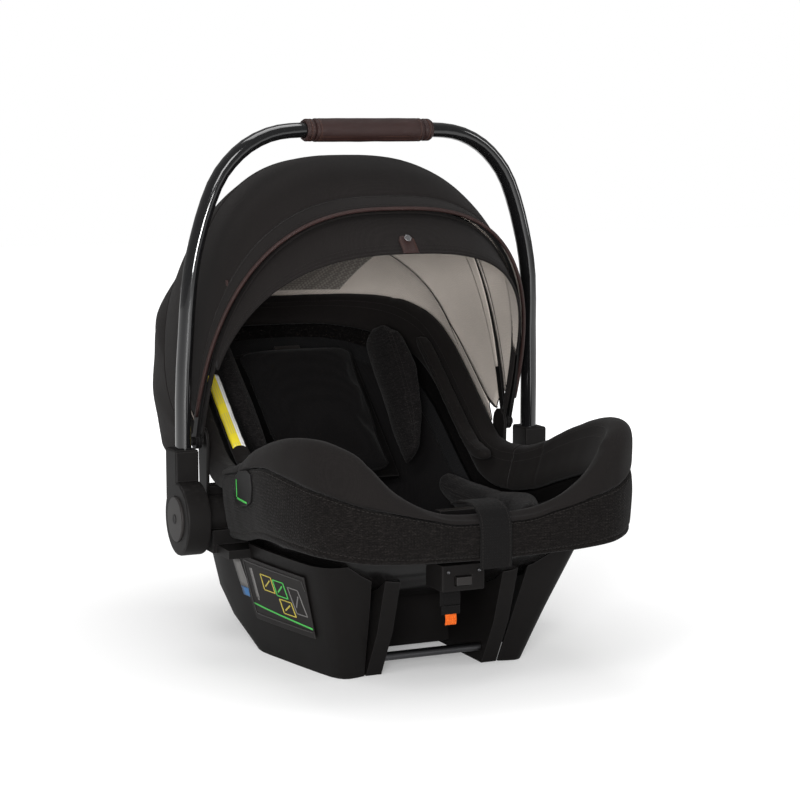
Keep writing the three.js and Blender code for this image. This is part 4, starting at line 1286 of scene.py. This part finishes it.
def back_line(alpha, inset):
    e, c, s = 2 / 3, abs(cos(alpha)), sin(alpha)
    phi = 180 - degrees(alpha) * 0.8
    z = rim_at(phi)[0].z
    knots = [
        arch_point(alpha, 46.2 + 24 * s**16, 301.6 - inset, PANEL_HALF - 3.1 - inset),
        arch_point(alpha, 47.9 + 24 * s**16, 304.5 - inset, PANEL_HALF - 0.2 - inset),
        beside(phi, 10.6 - inset, z + 11),
        beside(phi, 14 - inset, z - 10),
    ]
    for half, side, back, low, side_low in REAR_RINGS:
        knots.append(Vector((
            (half - inset) * power(s, e),
            side + (back - inset - side) * c**e,
            lerp(side_low, low, (c**e) ** 1.3),
        )))
    return through(knots, False, 8)


back_outer, back_inner = [], []
for alpha in ARCH:
    line, under = back_line(alpha, 0), back_line(alpha, 1.7)
    soft = []
    for k, (p, q) in enumerate(zip(line, under)):
        away = (p - q).normalized()
        sewn = exp(-((k / 1.2) ** 2)) + exp(-(((k - 24) / 0.9) ** 2))
        fold = 0.6 * noise.noise(Vector((alpha * 6, k * 0.2, 4.0)))
        soft.append(p - away * (0.5 * sewn * (0.4 + 0.6 * abs(sin(alpha * 46))) + 0.3 + fold * 0.5))
    back_outer.append(soft)
    back_inner.append(under)
back_panel = sheet_between(
    "canopy back panel", back_outer, back_inner, canopy_cloth, inner_material=lining_cloth
)
fit(back_panel, "carrier", "canopy_rear_panel")
print("canopy back:", len(back_panel.data.polygons), "faces")


# %% [markdown]
# ## Seams of the canopy
# Every seam between panels has a thin welt cord in it and is top-stitched beside it. The stitches
# lie half a thread above the cloth, and ride with the panel's own body. Inside, a taupe tape wraps
# the middle bow, which is how the bow is held in the lining.

# %% Canopy seams
def lifted(alpha_list, angle, r, half, spread=0.0):
    return [arch_point(a, angle + spread * sin(a) ** 16, r, half) for a in alpha_list]


INNER_ARCH = ARCH[3:-3]
band_stitches = stitch_piece(
    "band stitches", [lifted(INNER_ARCH, a, 271.0, PANEL_HALF + 0.1) for a in (-21.6, -17.1)],
    thread_cloth, 3.8, 2.8, 0.26
)
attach(band_stitches, "canopy_front")
seam_stitches = stitch_piece(
    "bow seam stitches",
    [lifted(INNER_ARCH, 12.15, 304.6, PANEL_HALF + 0.1), lifted(INNER_ARCH, 13.4, 304.5, PANEL_HALF)],
    thread_cloth, 3.8, 2.8, 0.26
)
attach(seam_stitches, "canopy_mid")
back_stitches = stitch_piece(
    "back seam stitches", [lifted(INNER_ARCH, 48.3, 304.5, PANEL_HALF, 24)], thread_cloth, 3.8, 2.8, 0.26
)
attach(back_stitches, "carrier")
for label, angle, spread, r, thick, body in (
    ("band welt", -16.05, 0, 270.6, 1.0, "canopy_front"),
    ("bow welt", 12.15, 0, 303.9, 1.25, "canopy_mid"), ("back welt", 47.35, 24, 303.7, 1.5, "carrier")
):
    welt = cord_piece(label, [lifted(ARCH, angle, r, PANEL_HALF - 0.8, spread)], thick, canopy_cloth, 8)
    fit(welt, body)
bow_tape = sheet_between(
    "bow tape",
    [lifted(INNER_ARCH, a, 298.9, 181.0) for a in steps(10.4, 15.6, 6)],
    [lifted(INNER_ARCH, a, 298.2, 180.3) for a in steps(10.4, 15.6, 6)],
    lining_cloth,
)
fit(bow_tape, "canopy_mid")
piping = cord_piece(
    "leather piping", [lifted(ARCH, -23.55, 269.9, PANEL_HALF - 1.1)], 2.1, brown_leather, 10
)
fit(piping, "canopy_front")
cloth_sheet(band, band_grid)
cloth_sheet(front_panel, front_panel_grid)
cloth_sheet(mid_panel, mid_panel_grid)
cloth_sheet(back_panel, back_outer)


# %% [markdown]
# ## The visor
# A stiffened flap slides out of the front bow on a thin bow of its own. Its free edge is bound,
# and in the middle a leather tab with a snap folds over it, to pull it by.

# %% Visor
VISOR_ARCH = arch_alphas(80, 262, 96)


def visor_at(alpha, t, out):
    c = abs(cos(alpha)) ** 0.8
    return arch_point(alpha, lerp(-18.5, lerp(-24, -35, c), t), lerp(263.5, 249, t) + out, 181 + out)


visor_outer = [
    [visor_at(a, t, 0.25 * noise.noise(Vector((a * 6, t * 3, 8.0)))) for a in VISOR_ARCH]
    for t in steps(0, 1, 14)
]
visor_inner = [[visor_at(a, t, -1.6) for a in VISOR_ARCH] for t in steps(0, 1, 14)]
visor = sheet_between("visor flap", visor_outer, visor_inner, canopy_cloth, inner_material=lining_cloth)
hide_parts("visor_panel")
LEG = arch_alphas(90, 263.5, 6)
visor_bow = sheet_between(
    "visor bow sleeve",
    [
        [arch_point(a, -21.5, 263.4 + 0.5 * cos(w / 4.5 * 1.3), 180.9, w) for w in steps(-4.5, 4.5, 6)]
        for a in LEG
    ],
    [[arch_point(a, -21.5, 261.7, 179.2, w) for w in steps(-4.5, 4.5, 6)] for a in LEG],
    canopy_cloth,
)
binding = cord_piece(
    "visor binding", [[visor_at(a, 0.995, -0.8) for a in VISOR_ARCH]], 1.5, canopy_cloth, 8
)
visor_stitches = stitch_piece(
    "visor stitches", [[visor_at(a, t, 0.3) for a in VISOR_ARCH[2:-2]] for t in (0.86, 0.93)],
    thread_cloth, 3.6, 2.6, 0.24
)
cloth_sheet(visor, visor_outer)


def tab_at(x, t, out):
    p = arch_point(0, lerp(-18.5, -35, t), lerp(263.5, 249, t) + out, 181)
    return Vector((x, p.y, p.z - x * x * 0.0006))


tab_t, tab_x = steps(0.72, 1.03, 16), steps(-9, 9, 12)
visor_tab = sheet_between(
    "leather pull tab",
    [
        [tab_at(x * (1 - 0.25 * ease(t, 0.79, 0.72)), t, 2.3 - 0.9 * (abs(x) / 9) ** 6) for x in tab_x]
        for t in tab_t
    ],
    [[tab_at(x * (1 - 0.25 * ease(t, 0.79, 0.72)), t, 0.5) for x in tab_x] for t in tab_t],
    brown_leather,
)
tab_stitches = stitch_piece("tab stitches", [
    [tab_at(7.2, t, 2.35) for t in steps(0.78, 1.02, 12)], [
        tab_at(-7.2, t, 2.35)
        for t in steps(0.78, 1.02, 12)
    ],
], tan_thread, 2.6, 1.9, 0.26)
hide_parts("visor_tab")
for piece, slot in ((visor, "canopy_fabric"), (visor_bow, "canopy_fabric"), (binding, "canopy_fabric"),
                    (visor_stitches, "canopy_fabric"), (visor_tab, "leather"), (tab_stitches, "leather")):
    fit(piece, "visor")
print("visor ready")


# %% [markdown]
# ## The leather grip
# The top of the handle is wrapped in coated leather, sewn underneath, with a narrower cuff at each
# end. The wrap is an oval sleeve with soft ends. It bulges slightly between its seams, and its
# stitches are the thread that draws the wrap together.

# %% Grip
def grip_point(x, a, wide, deep):
    return Vector((x, -15.8 + deep / 2 * sin(a), 550 + wide / 2 * cos(a)))


def grip_sleeve(name, x0, x1, wide, deep, node, count):
    turns = steps(0, 2 * pi, 48)[:-1]
    outer, inner = [], []
    for x in steps(x0, x1, count):
        end = min(abs(x - x0), abs(x1 - x))
        drop = 1.6 * exp(-((end / 1.2) ** 2)) + 0.7 * exp(-(((end - 5.0) / 0.8) ** 2))
        row = []
        for a in turns:
            seam = 0.7 * exp(-(((a - 1.25 * pi + pi) % (2 * pi) - pi) / 0.07) ** 2)
            rise = -2 * (drop * 0.8 + seam) + 0.5 * noise.noise(Vector((x * 0.05, cos(a) * 2, sin(a) * 2)))
            row.append(grip_point(x, a, wide + rise, deep + rise))
        outer.append(row)
        inner.append([grip_point(x, a, 16.9, 24.9) for a in turns])
    piece = sheet_between(name, outer, inner, brown_leather, wrap=True)
    fit(piece, "handle", node)
    return piece


grip = grip_sleeve("leather grip", -62.6, 62.6, 25.0, 31.0, "grip_sleeve", 110)
grip_sleeve("right grip cuff", 63.0, 73.0, 24.0, 30.0, "grip_cuff_right", 20)
grip_sleeve("left grip cuff", -73.0, -63.0, 24.0, 30.0, "grip_cuff_left", 20)
grip_rows = [
    [grip_point(x, a, 24.6, 30.6) for x in steps(-60, 60, 60)]
    for a in (1.25 * pi - 0.16, 1.25 * pi + 0.16)
]
for x in (-57.6, 57.6, -68, 68):
    small = 24.4 if abs(x) < 60 else 23.4
    grip_rows.append([grip_point(x, a, small, small + 6) for a in steps(0, 2 * pi, 60)])
grip_stitches = stitch_piece("grip stitches", grip_rows, tan_thread, 3.2, 2.3, 0.32)
fit(grip_stitches, "handle")
print("grip:", len(grip.data.polygons), "faces")


# %% [markdown]
# ## Webbing
# The harness is polyester webbing: flat, ribbed along its length, with a firm woven edge. A strap
# is a thin closed sheet along its path, with five shallow ribs across it. Straps are modelled
# directly, because inflating or remeshing would swallow anything so thin.

# %% Straps
def strap(name, line, x0, x1, thick, node, ribs=5, material=None):
    path = [Vector((0, y, z)) for y, z in line]
    path = through([tuple(p) for p in path], False, 8) if len(path) > 2 else [
        path[0].lerp(path[1], t)
        for t in steps(0, 1, 8)
    ]
    xs = steps(x0, x1, 36)
    outer, inner = [], []
    for i, p in enumerate(path):
        d = (path[min(i + 1, len(path) - 1)] - path[max(i - 1, 0)]).normalized()
        n = Vector((0, d.z, -d.y))
        rise = [thick - 0.22 + 0.22 * abs(sin(pi * ribs * (x - x0) / (x1 - x0))) ** 0.5 for x in xs]
        rise[0] = rise[-1] = thick * 0.6
        outer.append([p + n * r + Vector((x, 0, 0)) for x, r in zip(xs, rise)])
        inner.append(
            [p + n * (thick * 0.4 if k in (0, 36) else 0.0) + Vector((x, 0, 0)) for k, x in enumerate(xs)]
        )
    piece = sheet_between(name, outer, inner, material or webbing_cloth)
    fit(piece, "carrier", node)
    return path


LIP = [
    (-258, 185.5), (-270, 190), (-285, 192.4), (-299, 192.4), (-311, 189.2), (-319.8, 181.6),
    (-322.8, 171), (-323.3, 155), (-323.3, 140), (-322, 133)
]
lip_path = strap("lip webbing", LIP, -17, 17, 1.6, "front_strap")
strap("leg webbing", [(-237.6, 134.5), (-237.6, 141)], -13, 13, 2.4, "crotch_strap")
strap("adjuster strap", [(-289.6, 107.4), (-290.2, 100), (-289.9, 93)], -44, -22, 1.4, "adjuster_tail")
strap(
    "orange tag", [(-291.4, 84), (-292.4, 79), (-291.2, 74)], -39, -27, 1.5, "pull_tag", ribs=2,
    material=orange_cloth
)
strap("tag webbing", [(-290.9, 92.4), (-291.6, 88), (-291.3, 84.3)], -43, -23, 1.5, None, ribs=3)
edge_rows = []
for x in (-14.6, 14.6):
    row = []
    for i, p in enumerate(lip_path):
        d = (lip_path[min(i + 1, len(lip_path) - 1)] - lip_path[max(i - 1, 0)]).normalized()
        row.append(p + Vector((0, d.z, -d.y)) * 1.62 + Vector((x, 0, 0)))
    edge_rows.append(row)
strap_stitches = stitch_piece("strap stitches", edge_rows, thread_cloth, 3.2, 2.3, 0.26)
fit(strap_stitches, "carrier")
print("straps ready")


# %% [markdown]
# ## Small hard details
# Rivets, guide marks and stickers are what make a moulded part look made. Each is a primitive
# shaped by hand tools: a rivet is a short cylinder whose rim is bevelled and whose face is inset
# and dished. A mark follows the surface it is printed on, found by sending rays at the frame.

# %% Rivets
def start_edit(piece):
    only(piece)
    bpy.ops.object.mode_set(mode="EDIT")
    bpy.ops.mesh.select_all(action="DESELECT")
    bpy.ops.mesh.select_mode(type="FACE")
    bpy.ops.object.mode_set(mode="OBJECT")


def pick_faces(piece, wanted):
    for face in piece.data.polygons:
        face.select = wanted(face)
    bpy.ops.object.mode_set(mode="EDIT")


def settle(piece, name, material, body):
    bpy.ops.object.mode_set(mode="OBJECT")
    only(piece)
    bpy.ops.object.transform_apply(location=True, rotation=True, scale=True)
    piece.name = piece.data.name = name.replace(" ", "_")
    piece.data.materials.clear()
    piece.data.materials.append(material)
    bpy.ops.object.shade_smooth_by_angle(angle=radians(35))
    fit(piece, body)
    return piece


def rivet(name, place, turn, radius, material, body, high=1.6):
    bpy.ops.object.select_all(action="DESELECT")
    bpy.ops.mesh.primitive_cylinder_add(
        vertices=32, radius=radius * 0.001, depth=high * 0.001, location=[c * 0.001 for c in place],
        rotation=turn
    )
    piece = bpy.context.object
    start_edit(piece)
    pick_faces(piece, lambda f: f.normal.z > 0.9)
    bpy.ops.mesh.bevel(offset=0.00045, segments=3, affect="EDGES")
    bpy.ops.object.mode_set(mode="OBJECT")
    pick_faces(piece, lambda f: f.normal.z > 0.999 and f.area > 2e-6)
    bpy.ops.mesh.inset(thickness=radius * 0.00032, depth=-0.0003)
    return settle(piece, name, material, body)


FACING_FRONT = (radians(90), 0, 0)
rivet("adjuster rivet", (-39.5, -300.5, 127.5), FACING_FRONT, 1.6, steel_grey, "carrier")
rivet("second adjuster rivet", (-6.5, -300.5, 127.5), FACING_FRONT, 1.6, steel_grey, "carrier")
for side, word in SIDES:
    rivet(
        word + " hub cap screw", (side * 222.1, -18, 146), (0, radians(90 * side), 0), 5.2, bow_plastic,
        "hub_button_" + word, 1.0
    )
print("rivets set")


# %% [markdown]
# ## Marks that follow a surface
# A printed mark lies on a curved part. Each one starts as a flat strip of points outside the part,
# and a ray from each point finds where it lands. Two layers of those places, a fraction of a
# millimetre apart, make a thin closed film.

# %% Mark helpers
def mark(name, tree, rows, direction, material, thick=0.5, lift=0.02):
    """A thin raised mark: rows of start points are sent along `direction` onto a surface."""
    outer, inner = [], []
    for row in rows:
        hits = [tree.ray_cast(Vector(p) * 0.001, Vector(direction).normalized())[:2] for p in row]
        if any(h[0] is None for h in hits):
            continue
        hits = [(w * 1000, n if n.dot(Vector(direction)) < 0 else -n) for w, n in hits]
        outer.append([w + n * (lift + thick) for w, n in hits])
        inner.append([w + n * lift for w, n in hits])
    if len(outer) < 2:
        print(name, "missed")
        return
    piece = sheet_between(name, outer, inner, material)
    fit(piece, "carrier")


def bar(a, b, width):
    """Rows of (y, z) pairs for a straight bar of this width."""
    a, b = Vector(a), Vector(b)
    side = Vector((a.y - b.y, b.x - a.x)).normalized() * width / 2
    return [[a.lerp(b, t) - side, a.lerp(b, t) + side] for t in steps(0, 1, 16)]


# %% [markdown]
# ## Guide marks
# Green marks show where the car's belt runs: a line along the foot of each base panel and an L on
# each guide of the side cover. The base panel also has a raised frame and a few pale printed
# outlined boxes with a stroke in each. They are generic shapes and say nothing.

# %% Guide marks
PRINTS = [
    (
        "frame foot", (0.06, 0.10), (0.94, 0.10), 1.4, button_plastic
    ), ("frame top", (0.06, 0.93), (0.94, 0.93), 1.4, button_plastic),
    (
        "frame front", (0.05, 0.10), (0.05, 0.93), 1.4, button_plastic
    ), ("frame back", (0.95, 0.10), (0.95, 0.93), 1.4, button_plastic),
    (
        "green line", (0.05, 0.26), (0.95, 0.14), 2.0, green_plastic
    ), ("figure", (0.15, 0.38), (0.15, 0.84), 6.5, print_plastic),
    ("figure foot", (0.15, 0.34), (0.15, 0.37), 3.5, print_plastic),
]
for name, across, up, wide, tall, material in (
        (
            "upper box", 0.38, 0.68, 0.16, 0.24, yellow_plastic
        ), ("lower box", 0.58, 0.38, 0.16, 0.22, yellow_plastic),
        (
            "middle box", 0.56, 0.66, 0.15, 0.24, green_plastic
        ), ("front box", 0.76, 0.54, 0.14, 0.40, print_plastic),
):
    l, r, f, t = across - wide / 2, across + wide / 2, up - tall / 2, up + tall / 2
    PRINTS += [(name + " a", (l, f), (r, f), 1.2, material), (name + " b", (l, t), (r, t), 1.2, material),
               (name + " c", (l, f), (l, t), 2.0, material), (name + " d", (r, f), (r, t), 2.0, material),
               (name + " e", (l + wide * 0.2, f + tall * 0.25),
                (r - wide * 0.2, t - tall * 0.25), 1.6, material)]
print(len(PRINTS), "marks for each panel")


# %% [markdown]
# ## Printing the marks
# The same list serves both sides. A place on a panel is given as a share of its length and height,
# and the rays come straight in from the side. The L on a belt guide is aimed along the rim's own
# outward direction there.

# %% Print the marks
for side, word in SIDES:
    tree_of = surface_of(nodes["guide_panel_" + word])
    low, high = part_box("guide_panel_" + word)

    def on_panel(f):
        return (lerp(high[1], low[1], f[0]) * 1000, lerp(low[2], high[2], f[1]) * 1000)

    for label, a, b, width, material in PRINTS:
        rows = [[(side * 300, p.x, p.y) for p in row] for row in bar(on_panel(a), on_panel(b), width)]
        mark(
            word + " " + label, tree_of, rows, (-side, 0, 0), material,
            0.5 if material is button_plastic else 0.25
        )
    skirt_tree = surface_of(nodes["skirt_" + word])
    for label, z0, z1, material in (
        ("sticker", 74, 104, print_plastic), ("sticker foot", 64, 73.6, blue_plastic)
    ):
        mark(
            word + " " + label, skirt_tree,
            [
                [(side * 300, high[1] * 1000 + y + (z - 90) * 0.25, z) for y in (5, 12, 19, 26)]
                for z in steps(z0, z1, 6)
            ],
            (-side, 0, 0), material, 0.3, 0.1
        )
    tree_of = surface_of(nodes["belt_guide_" + word])
    low, high = (Vector(c) * 1000 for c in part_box("belt_guide_" + word))
    mid, normal = (low + high) / 2, rim_at(side * 56.5)[1]
    along = Vector((normal.y, -normal.x, 0)) * side
    wide, tall = hypot(high.x - low.x, high.y - low.y) / 2, (high.z - low.z) / 2
    for label, a, b in (
        ("guide foot", (-0.62, -0.6), (0.5, -0.6)), ("guide upright", (-0.66, -0.56), (-0.72, 0.3))
    ):
        rows = [[mid + normal * 60 + along * p.x + Vector((0, 0, p.y)) for p in row]
                for row in bar((a[0] * wide, a[1] * tall), (b[0] * wide, b[1] * tall), 2.0)]
        mark(word + " " + label, tree_of, rows, -normal, green_plastic, 0.35)
print("marks placed")


# %% [markdown]
# ## The care label
# A sewn-in label lies along the left side wing. Here it carries no words, only a yellow field, a
# white one and grey bars where lines of print would be, all worked out from the place on it. The
# label itself is a thin sheet laid on the padded wing by rays sent down onto it.

# %% Care label finish
label_low, label_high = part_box("care_label")
label_film, tree, shader, place = start_material("label film")
spots = put(tree, "ShaderNodeSeparateXYZ", {0: place}).outputs
run = between(tree, spots[1], label_low[1], label_high[1])
width = between(tree, spots[0], label_low[0], label_high[0])
bars = calc(
    tree, "MULTIPLY",
    calc(tree, "GREATER_THAN", calc(tree, "SINE", calc(tree, "MULTIPLY", width, 44.0)), 0.35),
    calc(tree, "LESS_THAN", calc(tree, "SINE", calc(tree, "MULTIPLY", run, 15.0)), 0.6)
)
white_part = calc(tree, "GREATER_THAN", width, 0.62)
ground = blend_colour(tree, white_part, (0.80, 0.66, 0.03), (0.82, 0.82, 0.80))
printed = blend_colour(tree, calc(tree, "MULTIPLY", bars, 0.35), ground, (0.32, 0.31, 0.28))
tree.links.new(printed, shader.inputs["Base Color"])
creased = cloudy_at(tree, place, 120.0, 3.0)
tree.links.new(calc(tree, "MULTIPLY_ADD", creased, 0.3, 0.3), shader.inputs["Roughness"])
bump(tree, shader, creased, 0.4, 0.0003)
label_rows = [[(x, y) for x in steps(-144, -128.5, 8)] for y in steps(14, 98, 40)]
label_tree = surface_of(pads["side_pad_left"])
outer, inner = [], []
for row in label_rows:
    hits = [label_tree.ray_cast(Vector((x, y, 420)) * 0.001, Vector((0, 0, -1)))[:2] for x, y in row]
    outer.append([w * 1000 + n * 0.75 for w, n in hits])
    inner.append([w * 1000 + n * 0.3 for w, n in hits])
label_sheet = sheet_between("blank label", outer, inner, label_film)
fit(label_sheet, "carrier", "care_label")
print("label runs", round((label_high[1] - label_low[1]) * 1000), "mm")


# %% [markdown]
# ## Zip pull
# The canopy's rain cover is zipped in, and its leather pull hangs at the left edge of the band.

# %% Zip pull
PULL_HEIGHT = 392
edge_points = [arch_point(alpha, -16.0, 271, PANEL_HALF) for alpha in ARCH]
pull_x, pull_y, pull_z = [p for p in edge_points if p.x < 0 and abs(p.z - PULL_HEIGHT) < 4][-1]
bpy.ops.object.select_all(action="DESELECT")
bpy.ops.mesh.primitive_cube_add(
    size=1.0, location=((pull_x - 1.6) * 0.001, (pull_y + 3) * 0.001, (pull_z - 9) * 0.001),
    scale=(0.0016, 0.0052, 0.02)
)
zip_pull = bpy.context.object
start_edit(zip_pull)
pick_faces(zip_pull, lambda f: True)
bpy.ops.mesh.subdivide(number_cuts=3)
bpy.ops.object.mode_set(mode="OBJECT")
only(zip_pull)
bpy.ops.object.transform_apply(location=True, rotation=True, scale=True)
rounding = zip_pull.modifiers.new("rounded", "BEVEL")
rounding.width, rounding.segments = 0.0006, 3
bpy.ops.object.modifier_apply(modifier=rounding.name)
start_edit(zip_pull)
pick_faces(zip_pull, lambda f: False)
settle(zip_pull, "zip pull", brown_leather, "canopy_front")
print("zip pull at", round(pull_x), round(pull_y), round(pull_z))


# %% [markdown]
# ## Floor
# The seat stands on a plain white sweep. Its paper also glows a little where the camera looks at
# it, less near the seat, so that it runs into the white room and still takes a soft shadow.

# %% Floor
bpy.ops.object.select_all(action="DESELECT")
bpy.ops.mesh.primitive_plane_add(size=14.0, location=(0, 0, -0.0004))
floor = bpy.context.object
floor.name = "floor"
paper, tree, shader, place = start_material("white paper")
cloudy = cloudy_at(tree, place, 3.0, 2.0)
tree.links.new(
    blend_colour(tree, cloudy, (0.74, 0.74, 0.74), (0.76, 0.76, 0.76)), shader.inputs["Base Color"]
)
shader.inputs["Roughness"].default_value = 0.9
shader.inputs["Specular IOR Level"].default_value = 0.1
tree.links.new(
    blend_colour(tree, cloudy, (0.98, 0.98, 0.98), (1.0, 1.0, 1.0)), shader.inputs["Emission Color"]
)
away = put(tree, "ShaderNodeVectorMath", {0: place}, operation="LENGTH").outputs["Value"]
lit = put(
    tree, "ShaderNodeMapRange",
    {"Value": away, "From Min": 0.3, "From Max": 1.6, "To Min": 0.26, "To Max": 0.75}
).outputs[0]
seen = put(tree, "ShaderNodeLightPath").outputs["Is Camera Ray"]
tree.links.new(calc(tree, "MULTIPLY", lit, seen), shader.inputs["Emission Strength"])
floor.data.materials.append(paper)
print("floor", tuple(round(c, 1) for c in floor.dimensions), "m")


# %% [markdown]
# ## Light
# A large soft box at the upper left gives the long bright edge on the handle, a strip at the right
# gives the other, a low box in front reaches the lining under the hood, and a pale room lifts the
# shadows but stays dim in reflections.

# %% Light
SKY_LIGHT, SKY_SHINE = 0.6, 0.16  # how bright the pale room is to soft light and to reflections
world = bpy.data.worlds.new("studio")
bpy.context.scene.world = world
world.use_nodes = True
world.node_tree.nodes["Background"].inputs[0].default_value = (1.0, 1.0, 1.0, 1.0)
rays = put(world.node_tree, "ShaderNodeLightPath").outputs
sky = calc(
    world.node_tree, "MULTIPLY_ADD", rays["Is Diffuse Ray"], SKY_LIGHT,
    calc(world.node_tree, "MULTIPLY_ADD", rays["Is Glossy Ray"], SKY_SHINE, rays["Is Camera Ray"])
)
world.node_tree.links.new(sky, world.node_tree.nodes["Background"].inputs[1])


def soft_box(name, place, target, size, power, tall=None):
    light = bpy.data.lights.new(name, "AREA")
    light.shape, light.size, light.size_y, light.energy = "RECTANGLE", size, tall or size, power
    lamp = bpy.data.objects.new(name, light)
    lamp.location = place
    lamp.rotation_euler = (Vector(target) - Vector(place)).to_track_quat("-Z", "Y").to_euler()
    bpy.context.scene.collection.objects.link(lamp)
    return lamp


soft_box("key light", (-1.7, -1.5, 2.0), (0, 0, 0.25), 0.8, 22, 1.3)
soft_box("right strip", (2.1, -0.9, 1.3), (0, 0, 0.25), 0.5, 14, 1.8)
soft_box("top light", (0.0, 0.7, 2.6), (0, 0, 0.2), 1.5, 18)
soft_box("front light", (-1.0, -1.9, 0.55), (0.08, 0, 0.34), 0.6, 30, 0.4)


# %% [markdown]
# ## Camera
# The camera stands a little to the seat's left, just above it, with a long lens, so that the shape
# isn't stretched.

# %% Camera
camera_data = bpy.data.cameras.new("camera")
camera_data.lens, camera_data.sensor_width = 97.65, 36.0
camera_data.clip_start, camera_data.clip_end = 0.1, 50.0
camera = bpy.data.objects.new("camera", camera_data)
camera.location = (-0.9349, -2.1526, 0.5665)
camera.rotation_euler = Vector((0.411, 0.902, -0.1305)).to_track_quat("-Z", "Y").to_euler()
bpy.context.scene.collection.objects.link(camera)
bpy.context.scene.camera = camera
bpy.context.scene.view_settings.view_transform = "Standard"
print("camera at", tuple(round(c, 3) for c in camera.location))
